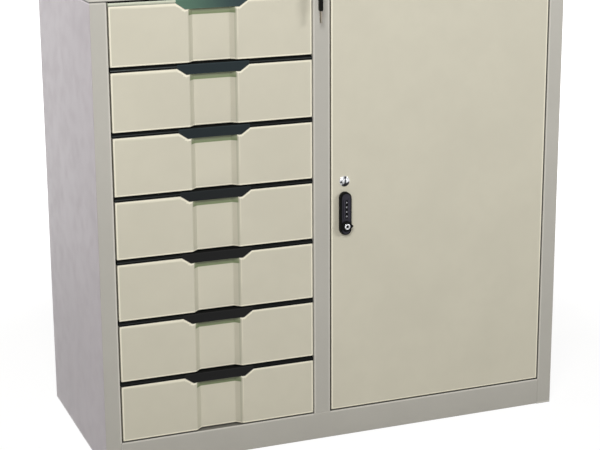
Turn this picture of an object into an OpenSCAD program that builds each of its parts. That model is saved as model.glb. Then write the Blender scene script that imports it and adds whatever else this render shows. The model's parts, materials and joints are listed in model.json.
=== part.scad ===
// Lockable steel cabinet: seven drawers on roller slides at the left, a hinged door
// with shelves behind it at the right, and a top cap that holds the drawers' gang lock.
// Every piece is placed from the left, front, bottom corner of the cabinet: X from the
// left side, Y from the front face towards the back, Z from the floor. placed() then
// moves the finished piece so that the origin is at the middle of the base.

/* [Cabinet] */
// Overall width
cab_w = 900; // [880:10:1000]
// Depth from the front face to the back
cab_d = 400; // [360:2:460]
// Height of the base rail
base_h = 52; // [46:1:80]
// Height of the top cap
cap_h = 43; // [41:1:60]
// Width of each front stile
stile_w = 30; // [27:1:40]
// Width of the centre post
post_w = 32; // [32:1:40]
// Thickness of the steel sheet
sheet = 1; // [0.8:0.1:1.2]
// Radius of a fold, to the middle of the sheet
fold_r = 1.5; // [1.2:0.1:1.9]
// Depth of a return flange
flange = 18; // [14:1:20]
// Width of the stiffener under the floor
stiffener_w = 40; // [30:1:60]

/* [Drawers] */
// Width of the drawer opening
bay_w = 368; // [340:2:380]
// Height from one drawer to the next
drawer_pitch = 112; // [110:1:120]
// Gap round the drawer fronts and the door
front_gap = 2; // [1.5:0.1:2.5]
// Gap between the top drawer and the cap
top_gap = 1; // [0.6:0.1:2]
// Depth of a drawer front
front_d = 18; // [17:0.5:19]
// Room behind a tray
tray_room = 30; // [26:1:60]
// Height of a tray
tray_h = 80; // [78:1:84]
// Height of a tray's floor above the bottom of its cell
tray_lift = 8; // [6:0.5:12]
// Gap between a tray and the wall of its bay
slide_gap = 13; // [13:0.1:14]

/* [Handles] */
// Height of the handle strip along the top of a drawer front
strip_h = 7; // [5:0.5:9]
// Width of the finger pull at its top
pull_top_w = 130; // [110:1:150]
// Width of the finger pull at its bottom
pull_low_w = 97; // [90:1:105]
// How far the finger pull hangs below the strip
pull_drop = 11; // [9:0.5:16]
// Thickness of the finger pull
pull_t = 2.5; // [2:0.1:3]
// Width of the recessed channel at the front face
channel_top_w = 88; // [84:1:92]
// Width of the channel's floor
channel_floor_w = 66; // [60:1:72]
// Depth of the channel
channel_depth = 10; // [9:0.5:15]

/* [Slides] */
// Thickness of a runner
runner_t = 1.2; // [1:0.1:1.5]
// Height of a tray rail above the bottom of its cell
rail_z = 43; // [41:0.5:48]
// Width of a tray rail
rail_w = 10.5; // [9:0.1:10.6]
// Radius of a slide roller
roller_r = 8.5; // [7:0.1:9]
// Width of a slide roller
roller_w = 5; // [4:0.1:6]
// Radius of a roller's axle
axle_r = 2; // [1.5:0.1:3]
// Distance of the front rollers behind the front face
front_roller_y = 34; // [30:1:40]
// Depth of the upright that carries the left runners
upright_d = 36; // [30:1:50]

/* [Door] */
// Depth of the door
door_d = 20; // [19:0.5:20.5]
// Distance of the door's pivots from its edge and its face
pivot_inset = 4; // [3.8:0.05:4.1]
// Radius of a hinge pin
pin_r = 2.5; // [2:0.1:2.6]
// Length of a hinge pin
pin_len = 16; // [12:1:24]
// Thickness of a hinge plate
hinge_t = 1.2; // [1:0.05:1.4]
// Length of a hinge plate
hinge_len = 44; // [30:1:60]

/* [Door locks] */
// Distance of the door locks from the door's free edge
lock_inset = 26; // [24:0.5:28]
// Height of the key lock above the floor
cam_lock_z = 491; // [486:1:520]
// Radius of a lock's bezel
bezel_r = 10; // [9:0.1:11]
// Radius of a lock's housing
housing_r = 8; // [7.5:0.1:8.5]
// Radius of a lock's plug
plug_r = 5.5; // [5:0.1:6]
// Length of a door lock's tongue
tongue_len = 38; // [37:0.5:40]
// Width of a door lock's tongue
tongue_w = 14; // [10:0.5:14]
// Thickness of a door lock's tongue
tongue_t = 2; // [1.5:0.1:2.2]
// Height of the combination lock's lower end above the floor
combi_z = 392; // [380:1:396]
// Length of the combination lock's case
combi_h = 80; // [80:1:84]
// Width of the combination lock's case
combi_w = 22; // [20:0.5:24]
// How far the combination lock's case stands out
combi_d = 10; // [9:0.5:12]
// Radius of a number wheel
wheel_r = 6.5; // [6:0.1:7]
// Thickness of a number wheel
wheel_t = 7.6; // [7:0.1:7.8]
// Distance from one number wheel to the next
wheel_pitch = 8.6; // [8.6:0.1:9]
// How far the number wheels stand out of the case
wheel_proud = 1.1; // [0.8:0.1:1.5]
// Height of the top number wheel above the case's lower end
wheel_top = 61.4; // [60:0.1:62]
// Height of the knob above the case's lower end
knob_up = 17.3; // [16:0.1:18]
// Radius of the knob
knob_r = 10; // [8:0.1:10]
// Thickness of the knob
knob_t = 3.5; // [3:0.1:5]

/* [Gang lock] */
// Distance of the gang lock from the left edge of the centre post
gang_inset = 6; // [4:0.5:12]
// Height of the gang lock above the body
gang_up = 21; // [20:0.5:22]
// Travel of the lock bar
bar_lift = 10; // [8:0.5:11]
// Width of the lock bar
bar_w = 16; // [14:0.5:18]
// Thickness of the lock bar
bar_t = 2; // [1.5:0.1:3]
// Distance of the lock bar behind the front face
bar_y = 28; // [27:0.5:30]
// Radius of the drive pin
drive_r = 2; // [1.5:0.1:2.5]
// Height of a hook above the bottom of its drawer's cell
hook_z = 62; // [58:0.5:64]
// Height of a hook
hook_h = 8; // [6:0.5:9]

/* [Keys] */
// Height of a key's bow across the key
bow_w = 20; // [16:0.5:24]
// Length of the key's bow in the lock
bow_len = 21; // [18:0.5:24]
// Length of the spare key's bow
spare_bow_len = 32; // [26:0.5:36]
// Width of the spare key's bow
spare_bow_w = 12; // [11:0.5:20]
// Thickness of a bow
bow_t = 5.5; // [5:0.1:8]
// Thickness of a key's blade
blade_t = 2; // [1.6:0.1:2.2]
// Width of a key's blade
blade_w = 7.6; // [6:0.1:8]
// Length of a key's blade
blade_len = 21; // [18:0.5:24]
// Radius of the hole in a bow
bow_hole_r = 2.6; // [2.4:0.1:3]
// Radius of the key ring, to the middle of its wire
ring_r = 12; // [10:0.1:13]
// Radius of the key ring's wire
ring_wire_r = 0.8; // [0.6:0.05:0.9]

/* [Shelves] */
// Height of the lower shelf above the cabinet's floor
lower_shelf_up = 255; // [205:50:305]
// Height of the upper shelf above the cabinet's floor
upper_shelf_up = 505; // [455:50:605]
// Distance of a shelf behind the front face
shelf_front = 45; // [42:1:60]
// Room behind a shelf
shelf_room = 20; // [14:1:40]
// Height of a shelf's edges
shelf_edge = 20; // [15:1:30]
// Width of a shelf standard
standard_w = 16; // [12:1:20]
// Thickness of a shelf standard
standard_t = 2; // [1.5:0.1:3]
// Height from one slot of a standard to the next
slot_pitch = 50; // [50:25:50]

/* [Hidden] */
$fn = 48;

// Colours
frame_grey = [0.69, 0.68, 0.65];
side_grey = [0.71, 0.69, 0.70];
cream = [0.82, 0.81, 0.74];
inner_grey = [0.62, 0.62, 0.60];
zinc = [0.66, 0.67, 0.69];
chromed = [0.85, 0.86, 0.88];
slate = [0.16, 0.19, 0.21];
black = [0.07, 0.07, 0.08];
nylon = [0.88, 0.87, 0.83];

// Clearances: between pieces that move past each other, round a turning shaft, round a
// fixed piece in its seat, what a cut runs past a face, and how far a piece runs into the
// one that it is joined to
clear = 0.3;
running = 0.05;
seat = 0.05;
past = 1;
rooted = 1;

// Cabinet
drawer_count = 7;
fold_out = fold_r + sheet / 2;
body_h = base_h + drawer_count * drawer_pitch + top_gap;
cab_h = body_h + cap_h;
back_y = cab_d - 2 * sheet;
bay_left = stile_w;
bay_right = stile_w + bay_w;
post_right = bay_right + post_w;
opening_right = cab_w - stile_w;

// Drawers, counted from the top
tray_len = cab_d - front_d - tray_room;
function cell_z(n) = base_h + (drawer_count - n) * drawer_pitch;
front_x = bay_left + front_gap;
front_w = bay_w - 2 * front_gap;
front_h = drawer_pitch - front_gap - strip_h;
tray_x = bay_left + slide_gap;
tray_w = bay_w - 2 * slide_gap;

// Slides
lip_reach = 6;
lip_room = 5;
runner_tail = 8;
roller_tail = 12;
roller_axis_z = rail_z - roller_r - running;
runner_z = roller_axis_z - roller_r - running - runner_t;
runner_top_z = rail_z + lip_room;
runner_front = front_d + 4 * sheet;
runner_back = front_d + tray_len + runner_tail;
tray_side_gap = 2.5;
roller_side_gap = 3.8;
runner_reach = slide_gap - tray_side_gap;
roller_inset = runner_t + roller_side_gap;
rear_roller_y = front_d + tray_len - roller_tail;
rail_x = seat - slide_gap;
upright_back_gap = 2;
upright_y = runner_back - upright_back_gap - upright_d;

// Door
door_x = post_right + front_gap;
door_w = opening_right - front_gap - door_x;
door_z = base_h + front_gap;
door_h = body_h - front_gap - door_z;
pivot_x = door_x + door_w - pivot_inset;
lock_x = door_x + lock_inset;
hinge_end_gap = 1;

// Locks
bezel_t = 2;

// Door locks
housing_proud = 1.8;
plug_back = door_d + housing_proud;
tongue_gap = 0.7;
tongue_y = plug_back + tongue_gap;
plug_proud = 1.5;
knob_z = combi_z + knob_up;
wheel_y = wheel_r - combi_d - wheel_proud;
wheel_axle_r = 1.2;
wheel_slack = 0.2;
wheel_room = 1;
wheel_count = 4;
function wheel_z(k) = combi_z + wheel_top - k * wheel_pitch;
shaft_r = 5;
override_r = 3.4;
override_wall = 1;
override_head_t = 1.5;
override_head_r = [6, 5];
override_hole = 2;
override_y = -combi_d - knob_t - clear - running;
pointer_r = 12.8;
slot_margin = 2;

// Gang lock
gang_x = bay_right + gang_inset;
gang_z = body_h + gang_up;
gang_back = flange;
gang_plug_r = 6;
gang_plug_proud = 1;
gang_cam_t = 2;
cam_gap = 1;
gang_cam_y = gang_back + cam_gap + clear;
bar_side_gap = 2;
bar_x = bay_right + sheet + bar_side_gap;
bar_z = base_h + 6;
head_h = 20;
head_reach = 4;
head_x = gang_x - bar_lift - drive_r - head_reach;
plate_y = bar_y + bar_t + seat;
plate_t = 2;
hook_lap = 12;
hook_room = 1;
hook_bite = 9.5;
hook_reach = bar_x - bay_right + hook_bite;
lug_t = 2;
lug_h = 12;
lug_gap = 1;
lug_y = plate_y + plate_t + lug_gap;
lug_rise = 2;
lug_reach = slide_gap - seat - 1;
// The pin rises by a sine and the bar in step with the angle, so the slot is this much taller
pin_slack = 0.2106 * bar_lift;
pin_end = 1;
guide_t = 2;
guide_rim = 3;
guide_up = 28;

// Keys
bow_y = -6;
// The ring's arc falls this far across the thickness of a bow
ring_sag = bow_t * bow_t / (8 * ring_r);
hole_y = bow_y - bow_len + 2 * bow_hole_r;
ring_top_z = gang_z - bow_hole_r + ring_wire_r + clear + ring_sag;
ring_z = ring_top_z - ring_r;
spare_hole_z = ring_z - ring_r - bow_hole_r + ring_wire_r + clear + ring_sag;
spare_bow_top = spare_hole_z + bow_hole_r + 2;
keyway_len = 16;

// Shelves
shelf_side_gap = 1;
shelf_x = post_right + standard_t + shelf_side_gap;
shelf_right = cab_w - sheet - standard_t - shelf_side_gap;
shelf_back = cab_d - shelf_room;
standard_inset = 15;
standard_end_gap = 4;
standard_z = base_h + standard_end_gap;
standard_h = body_h - standard_end_gap - standard_z;
slot_w = 6;
slot_h = 8;
slot_end_room = 30;
slot_count = floor((standard_h - slot_end_room) / slot_pitch);
clip_reach = 14;
clip_t = 2;
clip_drop = 12;
first_slot_up = (lower_shelf_up - sheet - clip_drop) % slot_pitch;

// ---------- Shapes used by several pieces ----------

function unit(v) = v / norm(v);
function left_of(v) = [-v[1], v[0]];
function turned(v, a) = [v[0] * cos(a) - v[1] * sin(a), v[0] * sin(a) + v[1] * cos(a)];
function side_of(a, b) = sign(a[0] * b[1] - a[1] * b[0]);
FOLD_STEPS = 4;

// The points of one rounded corner at p, between the directions a and b, for a line
// that runs s to the left of the path
function corner(p, a, b, s, r) =
    let (turn = side_of(a, b),
         sweep = acos(a * b),
         centre = p - a * r * tan(sweep / 2) + turn * r * left_of(a))
    [for (i = [0:FOLD_STEPS])
        centre - turn * (r - turn * s) * turned(left_of(a), turn * sweep * i / FOLD_STEPS)];

// A line that runs s to the left of a path, with the path's corners rounded
function line_beside(path, s, r) =
    let (last = len(path) - 1)
    [for (i = [0:last])
        let (a = unit(path[max(i, 1)] - path[max(i, 1) - 1]),
             b = unit(path[min(i, last - 1) + 1] - path[min(i, last - 1)]))
        each (i == 0 || i == last ? [path[i] + s * left_of(a)] : corner(path[i], a, b, s, r))];

function reversed(v) = [for (i = [len(v) - 1:-1:0]) v[i]];

// A sheet folded along a path, as a flat section
module fold_section(path, t = sheet, r = fold_r)
    polygon(concat(line_beside(path, t / 2, r), reversed(line_beside(path, -t / 2, r))));

// A rectangle with rounded corners
function rounded_rect(x0, y0, x1, y1, r) =
    [for (q = [[x1 - r, y1 - r, 0], [x0 + r, y1 - r, 90], [x0 + r, y0 + r, 180], [x1 - r, y0 + r, 270]])
        for (i = [0:FOLD_STEPS])
            let (a = q[2] + 90 * i / FOLD_STEPS)
            [q[0] + r * cos(a), q[1] + r * sin(a)]];

module placed() translate([-cab_w / 2, -cab_d / 2, 0]) children();

// A flat section in X and Z, made solid from y for a length
module along_y(y, length)
    translate([0, y + length, 0]) rotate([90, 0, 0]) linear_extrude(length) children();

// A flat section in Y and Z, made solid from x for a length
module along_x(x, length)
    translate([x, 0, 0]) rotate([90, 0, 90]) linear_extrude(length) children();

module block(x0, y0, z0, x1, y1, z1)
    translate([x0, y0, z0]) cube([x1 - x0, y1 - y0, z1 - z0]);

module rod_y(x, y, z, r, length)
    translate([x, y, z]) rotate([-90, 0, 0]) cylinder(r = r, h = length);

module rod_x(x, y, z, r, length)
    translate([x, y, z]) rotate([0, 90, 0]) cylinder(r = r, h = length);

// ---------- Frame ----------

module side_sheet()
    linear_extrude(body_h)
        fold_section([
            [stile_w - sheet / 2, flange],
            [stile_w - sheet / 2, sheet / 2],
            [sheet / 2, sheet / 2],
            [sheet / 2, cab_d - sheet / 2],
            [flange, cab_d - sheet / 2]
        ]);

module left_side_panel() color(side_grey) placed() side_sheet();

module right_side_panel()
    color(side_grey) placed() translate([cab_w, 0, 0]) mirror([1, 0, 0]) side_sheet();

module back_panel()
    color(side_grey) placed()
        block(fold_out, back_y, 0, cab_w - fold_out, back_y + sheet, body_h);

module base_pan()
    color(inner_grey) placed() {
        along_y(flange, back_y - flange)
            fold_section([
                [1.5 * sheet, flange],
                [1.5 * sheet, base_h - sheet / 2],
                [cab_w - 1.5 * sheet, base_h - sheet / 2],
                [cab_w - 1.5 * sheet, flange]
            ]);
        along_y(flange, back_y - flange)
            fold_section([
                [(cab_w - stiffener_w) / 2, base_h - sheet],
                [(cab_w - stiffener_w) / 2, sheet / 2],
                [(cab_w + stiffener_w) / 2, sheet / 2],
                [(cab_w + stiffener_w) / 2, base_h - sheet]
            ]);
    }

module base_rail()
    color(frame_grey) placed()
        along_x(bay_left, opening_right - bay_left)
            fold_section([
                [flange, base_h - sheet / 2],
                [sheet / 2, base_h - sheet / 2],
                [sheet / 2, sheet / 2],
                [flange, sheet / 2]
            ]);

module top_cap()
    color(frame_grey) placed()
        difference() {
            translate([0, 0, body_h])
                linear_extrude(cap_h)
                    polygon(rounded_rect(0, 0, cab_w, cab_d, fold_out));
            block(sheet, sheet, body_h + sheet, cab_w - sheet, cab_d - sheet, cab_h - sheet);
            block(flange, flange, body_h - past, cab_w - flange, cab_d - flange, body_h + 2 * sheet);
            rod_y(gang_x, -past, gang_z, housing_r + seat, sheet + 2 * past);
        }

module hook_slot(n)
    block(bay_right - past, plate_y - hook_room, cell_z(n) + hook_z - hook_room,
          bay_right + sheet + past, plate_y + plate_t + hook_room,
          cell_z(n) + hook_z + hook_h + bar_lift + hook_room);

// The tongue swings up through the web, so its slot reaches down to where it first crosses
function strike_drop() =
    let (across = lock_x - post_right, tip = norm([tongue_len, tongue_w / 2]))
    sqrt(tip * tip - across * across);

module strike_slot(z)
    block(post_right - sheet - past, tongue_y - slot_margin, z - strike_drop() - slot_margin,
          post_right + past, tongue_y + tongue_t + slot_margin, z + tongue_w / 2 + slot_margin);

module centre_partition()
    color(frame_grey) placed()
        difference() {
            translate([0, 0, base_h])
                linear_extrude(body_h - base_h)
                    fold_section([
                        [bay_right + sheet / 2, back_y],
                        [bay_right + sheet / 2, sheet / 2],
                        [post_right - sheet / 2, sheet / 2],
                        [post_right - sheet / 2, back_y]
                    ]);
            for (n = [1:drawer_count]) hook_slot(n);
            strike_slot(cam_lock_z);
            strike_slot(knob_z);
        }

// Upright at the back of the left side, which brings the runners out to the stile's line
module rear_upright()
    color(inner_grey) placed()
        translate([0, 0, base_h])
            linear_extrude(body_h - base_h)
                fold_section([
                    [sheet, upright_y + sheet / 2],
                    [bay_left - sheet / 2, upright_y + sheet / 2],
                    [bay_left - sheet / 2, upright_y + upright_d - sheet / 2],
                    [sheet, upright_y + upright_d - sheet / 2]
                ]);

// ---------- Slides ----------

// Copies a piece of the right-hand slide to both sides of the drawer bay. In the piece X
// is 0 at the wall of the bay and falls towards the drawer.
module on_both_walls() {
    translate([bay_right, 0, 0]) children();
    translate([bay_left, 0, 0]) mirror([1, 0, 0]) children();
}

module runner() {
    union() {
        block(-runner_t, flange / 2, runner_z, 0, runner_back, runner_top_z + runner_t);
        block(-runner_reach, runner_front, runner_z, 0, runner_back, runner_z + runner_t);
        block(-lip_reach, runner_front, runner_top_z, 0, runner_back, runner_top_z + runner_t);
        rod_x(-roller_inset - roller_w, front_roller_y, roller_axis_z, axle_r, roller_inset + roller_w);
    }
}

module roller(y)
    difference() {
        rod_x(-roller_inset - roller_w, y, roller_axis_z, roller_r, roller_w);
        rod_x(-roller_inset - roller_w - past, y, roller_axis_z, axle_r + running, roller_w + 2 * past);
    }

module cabinet_runners()
    color(zinc) placed()
        for (n = [1:drawer_count])
            translate([0, 0, cell_z(n)]) on_both_walls() runner();

module cabinet_rollers()
    color(nylon) placed()
        for (n = [1:drawer_count])
            translate([0, 0, cell_z(n)]) on_both_walls() roller(front_roller_y);

// ---------- Drawers ----------

// Plan of a drawer front's sheet, from its left edge
channel_x = front_w / 2;
front_path = [
    [sheet / 2, front_d],
    [sheet / 2, sheet / 2],
    [channel_x - channel_top_w / 2, sheet / 2],
    [channel_x - channel_floor_w / 2, channel_depth + sheet / 2],
    [channel_x + channel_floor_w / 2, channel_depth + sheet / 2],
    [channel_x + channel_top_w / 2, sheet / 2],
    [front_w - sheet / 2, sheet / 2],
    [front_w - sheet / 2, front_d]
];

// Finger pull, seen from the front, grown by g, with its top at the strip
module pull_outline(g)
    polygon([
        [channel_x - pull_top_w / 2 - g, g],
        [channel_x - pull_low_w / 2 - g, -pull_drop - g],
        [channel_x + pull_low_w / 2 + g, -pull_drop - g],
        [channel_x + pull_top_w / 2 + g, g]
    ]);

module drawer_front(n)
    color(cream) placed()
        translate([front_x, 0, cell_z(n) + front_gap])
            difference() {
                union() {
                    linear_extrude(front_h) fold_section(front_path);
                    linear_extrude(sheet) polygon(line_beside(front_path, -sheet / 2, fold_r));
                }
                translate([0, 0, front_h])
                    along_y(-past, past + pull_t + clear) pull_outline(clear);
            }

module drawer_handle(n)
    color(slate) placed()
        translate([front_x, 0, cell_z(n) + front_gap + front_h])
            union() {
                cube([front_w, front_d, strip_h]);
                along_y(0, pull_t) pull_outline(0);
            }

// Tray rail with the stub axle of the rear roller
module tray_rail()
    union() {
        block(rail_x, front_d, rail_z - flange, rail_x + sheet, front_d + tray_len, rail_z + sheet);
        block(rail_x, front_d, rail_z, rail_x + rail_w, front_d + tray_len, rail_z + sheet);
        rod_x(rail_x, rear_roller_y, roller_axis_z, axle_r, -roller_inset - rail_x);
    }

module drawer_tray(n)
    color(inner_grey) placed()
        translate([0, 0, cell_z(n)]) {
            difference() {
                block(tray_x, front_d, tray_lift, tray_x + tray_w, front_d + tray_len, tray_lift + tray_h);
                block(tray_x + sheet, front_d + sheet, tray_lift + sheet,
                      tray_x + tray_w - sheet, front_d + tray_len - sheet, tray_lift + tray_h + past);
            }
            translate([tray_x + tray_w + seat, lug_y, hook_z + hook_h + lug_rise])
                cube([lug_reach, lug_t, lug_h]);
            on_both_walls() {
                tray_rail();
                roller(rear_roller_y);
            }
        }

// ---------- Shelves ----------

module shelf(up)
    along_x(shelf_x, shelf_right - shelf_x)
        fold_section([
            [shelf_front + shelf_edge / 2, base_h + up - shelf_edge],
            [shelf_front, base_h + up - shelf_edge],
            [shelf_front, base_h + up - sheet / 2],
            [shelf_back, base_h + up - sheet / 2],
            [shelf_back, base_h + up - shelf_edge]
        ]);

module shelf_upper() color(inner_grey) placed() shelf(upper_shelf_up);
module shelf_lower() color(inner_grey) placed() shelf(lower_shelf_up);

// Copies a piece of the left-hand shelf supports to both sides of the door's bay. In the
// piece X is 0 at the wall of the bay and rises into the bay.
module at_each_standard()
    for (y = [shelf_front + standard_inset, shelf_back - standard_inset]) {
        translate([post_right, y, 0]) children();
        translate([cab_w - sheet, y, 0]) mirror([1, 0, 0]) children();
    }

module shelf_standards()
    color(zinc) placed()
        at_each_standard()
            difference() {
                block(0, -standard_w / 2, standard_z, standard_t, standard_w / 2, standard_z + standard_h);
                for (k = [0:slot_count])
                    translate([-past, -slot_w / 2, base_h + first_slot_up + k * slot_pitch - slot_h / 2])
                        cube([standard_t + 2 * past, slot_w, slot_h]);
            }

// Clip: a hook in a slot, a leg down the standard and a lip under the shelf
module shelf_clip(up)
    translate([0, 0, base_h + up - sheet])
        union() {
            block(standard_t, -slot_w, -clip_t, standard_t + clip_reach, slot_w, 0);
            block(standard_t, -slot_w, -clip_drop - slot_h / 2, standard_t + clip_t, slot_w, 0);
            block(0, -slot_w / 2 + clear, -clip_drop - slot_h / 2 + clear,
                  standard_t + clip_t, slot_w / 2 - clear, -clip_drop + slot_h / 2 - clear);
        }

module shelf_clips()
    color(zinc) placed()
        for (up = [lower_shelf_up, upper_shelf_up])
            at_each_standard() shelf_clip(up);

// ---------- Hinges ----------

module hinge_plate(z)
    difference() {
        block(pivot_x - 3 * pivot_inset, fold_out, z, opening_right - hinge_end_gap, hinge_len, z + hinge_t);
        translate([pivot_x, pivot_inset, z - past]) cylinder(r = pin_r + seat, h = hinge_t + 2 * past);
    }

module hinge_plates()
    color(zinc) placed() {
        hinge_plate(base_h);
        hinge_plate(body_h - hinge_t);
    }

module hinge_pins()
    color(zinc) placed()
        for (z = [base_h, body_h - pin_len])
            translate([pivot_x, pivot_inset, z]) cylinder(r = pin_r, h = pin_len);

// ---------- Door ----------

module door_skin()
    color(cream) placed()
        difference() {
            translate([door_x, 0, door_z])
                union() {
                    path = [
                        [sheet / 2, door_d - sheet],
                        [sheet / 2, sheet / 2],
                        [door_w - sheet / 2, sheet / 2],
                        [door_w - sheet / 2, door_d - sheet]
                    ];
                    linear_extrude(door_h) fold_section(path);
                    for (z = [0, door_h - sheet])
                        translate([0, 0, z]) linear_extrude(sheet) polygon(line_beside(path, -sheet / 2, fold_r));
                }
            for (z = [door_z - past, door_z + door_h - sheet - past])
                translate([pivot_x, pivot_inset, z]) cylinder(r = pin_r + running, h = sheet + 2 * past);
            rod_y(lock_x, -past, cam_lock_z, housing_r + seat, sheet + 2 * past);
            rod_y(lock_x, -past, knob_z, housing_r + seat, sheet + 2 * past);
            block(lock_x - wheel_r - wheel_room, -past, wheel_z(wheel_count - 1) - wheel_pitch / 2,
                  lock_x + wheel_r + wheel_room, sheet + past, wheel_z(0) + wheel_pitch / 2);
        }

module door_liner()
    color(cream) placed()
        difference() {
            block(door_x + sheet, door_d - sheet, door_z + sheet,
                  door_x + door_w - sheet, door_d, door_z + door_h - sheet);
            for (z = [cam_lock_z, knob_z])
                rod_y(lock_x, door_d - sheet - past, z, housing_r + seat, sheet + 2 * past);
        }

// ---------- Key lock of the door ----------

// Barrel of a lock: a bevelled bezel in front of the sheet and a round housing behind it
module lock_barrel(x, z, back, bore)
    translate([x, 0, z]) rotate([-90, 0, 0])
        rotate_extrude()
            polygon([
                [bore, -bezel_t], [bezel_r - bezel_t, -bezel_t], [bezel_r, -bezel_t / 4],
                [bezel_r, 0], [housing_r, 0], [housing_r, back], [bore, back]
            ]);
// Plug of a lock, with its keyway cut from the front
module lock_plug(x, z, front, back, r)
    difference() {
        rod_y(x, front, z, r, back - front);
        block(x - blade_t / 2 - seat, front - past, z - blade_w / 2 - seat,
              x + blade_t / 2 + seat, front + keyway_len, z + blade_w / 2 + seat);
    }

// Tongue of a door lock, hanging down from its plug
module tongue(z)
    union() {
        rod_y(lock_x, tongue_y, z, tongue_w / 2, tongue_t);
        block(lock_x - tongue_w / 2, tongue_y, z - tongue_len, lock_x + tongue_w / 2, tongue_y + tongue_t, z);
    }

module cam_lock_housing()
    color(chromed) placed() lock_barrel(lock_x, cam_lock_z, plug_back, plug_r + running);

module cam_lock_plug()
    color(chromed) placed()
        lock_plug(lock_x, cam_lock_z, -bezel_t - plug_proud, tongue_y, plug_r);

module cam_lock_tongue() color(zinc) placed() tongue(cam_lock_z);

// ---------- Combination lock of the door ----------

module combination_lock_case()
    color(black) placed()
        union() {
            difference() {
                union() {
                    along_y(-combi_d, combi_d) case_body();
                    rod_y(lock_x, -rooted, knob_z, housing_r, plug_back + rooted);
                }
                for (k = [0:wheel_count - 1])
                    translate([lock_x, wheel_y, wheel_z(k) - wheel_t / 2 - wheel_slack])
                        cylinder(r = wheel_r + clear, h = wheel_t + 2 * wheel_slack);
                rod_y(lock_x, -combi_d - past, knob_z, shaft_r + running, combi_d + plug_back + 2 * past);
            }
            translate([lock_x, wheel_y, wheel_z(wheel_count - 1) - wheel_pitch / 2 - rooted])
                cylinder(r = wheel_axle_r, h = wheel_count * wheel_pitch + 2 * rooted);
        }

// Front view of the case: a bar with round ends
module case_body()
    union() {
        translate([lock_x - combi_w / 2, combi_z + combi_w / 2]) square([combi_w, combi_h - combi_w]);
        for (z = [combi_z + combi_w / 2, combi_z + combi_h - combi_w / 2])
            translate([lock_x, z]) circle(r = combi_w / 2);
    }

module number_wheel(k)
    color(black) placed()
        translate([lock_x, wheel_y, wheel_z(k) - wheel_t / 2])
            difference() {
                cylinder(r = wheel_r, h = wheel_t);
                translate([0, 0, -past]) cylinder(r = wheel_axle_r + running, h = wheel_t + 2 * past);
            }

module combination_knob()
    color(black) placed()
        difference() {
            union() {
                rod_y(lock_x, -combi_d - clear - knob_t, knob_z, knob_r, knob_t);
                rod_y(lock_x, -combi_d - clear - rooted, knob_z, shaft_r, combi_d + clear + rooted + tongue_y);
                along_y(-combi_d - clear - knob_t, knob_t - clear)
                    translate([lock_x, knob_z])
                        polygon([[knob_r / 2, knob_r / 3], [pointer_r, 0], [knob_r / 2, -knob_r / 3]]);
            }
            rod_y(lock_x, -combi_d - knob_t - past, knob_z, override_r + running, knob_t + combi_d + past);
        }

module override_plug()
    color(chromed) placed()
        difference() {
            union() {
                rod_y(lock_x, override_y, knob_z, override_r, knob_t + combi_d);
                translate([lock_x, override_y, knob_z]) rotate([90, 0, 0])
                    cylinder(r1 = override_head_r[0], r2 = override_head_r[1], h = override_head_t);
            }
            rod_y(lock_x, override_y - override_head_t - past, knob_z, override_r - override_wall,
                  override_head_t + past + override_hole);
        }

module combination_tongue() color(zinc) placed() tongue(knob_z);

// ---------- Gang lock of the drawers ----------

module gang_lock_housing()
    color(chromed) placed() lock_barrel(gang_x, gang_z, gang_back, gang_plug_r + running);

module gang_lock_plug()
    color(chromed) placed()
        lock_plug(gang_x, gang_z, -bezel_t - gang_plug_proud, gang_cam_y, gang_plug_r);

// Cam with the drive pin, which stands to the left of the plug while the drawers are free
module gang_lock_cam()
    color(zinc) placed()
        union() {
            rod_y(gang_x, gang_cam_y, gang_z, gang_plug_r, gang_cam_t);
            rod_y(gang_x - bar_lift, gang_cam_y, gang_z, 2 * drive_r, gang_cam_t);
            block(gang_x - bar_lift, gang_cam_y, gang_z - 2 * drive_r,
                  gang_x, gang_cam_y + gang_cam_t, gang_z + 2 * drive_r);
            rod_y(gang_x - bar_lift, gang_cam_y, gang_z, drive_r, plate_y + plate_t + pin_end - gang_cam_y);
        }

module pin_slot()
    translate([gang_x - bar_lift - drive_r - clear, gang_z - drive_r - clear])
        square([bar_lift + 2 * (drive_r + clear), pin_slack + 2 * (drive_r + clear)]);

// Flat bar, with a head for the drive pin and a hook for each drawer, which are plates
// fastened to the bar's back
module lock_bar()
    color(zinc) placed() {
        along_y(bar_y, bar_t)
            difference() {
                translate([bar_x, bar_z]) square([bar_w, gang_z + head_h / 2 - bar_z]);
                pin_slot();
            }
        along_y(plate_y, plate_t)
            difference() {
                translate([head_x, gang_z - head_h / 2]) square([bar_x + bar_w - head_x, head_h]);
                pin_slot();
            }
        for (n = [1:drawer_count])
            along_y(plate_y, plate_t)
                translate([bar_x - hook_reach, cell_z(n) + hook_z]) square([hook_reach + hook_lap, hook_h]);
    }

// Plates inside the post that the bar slides through
module lock_bar_guides()
    color(zinc) placed()
        for (n = [1:2:drawer_count])
            translate([0, 0, cell_z(n) + guide_up])
                difference() {
                    block(bay_right + sheet, bar_y - guide_rim, 0,
                          post_right - sheet, bar_y + bar_t + guide_rim, guide_t);
                    block(bar_x - clear, bar_y - clear, -past,
                          bar_x + bar_w + clear, bar_y + bar_t + clear, guide_t + past);
                }

// ---------- Keys ----------

module gang_key()
    color(zinc) placed()
        block(gang_x - blade_t / 2, bow_y - bow_len / 3, gang_z - blade_w / 2,
              gang_x + blade_t / 2, bow_y + blade_len - bezel_t, gang_z + blade_w / 2);

// Plastic bow in the Y and Z plane: a rounded plate with a hole for the ring and a slot
// that holds the blade
module bow(x, y0, z0, y1, z1, corner_r, hole_y, hole_z)
    difference() {
        along_x(x - bow_t / 2, bow_t) polygon(rounded_rect(y0, z0, y1, z1, corner_r));
        rod_x(x - bow_t / 2 - past, hole_y, hole_z, bow_hole_r, bow_t + 2 * past);
    }

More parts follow.
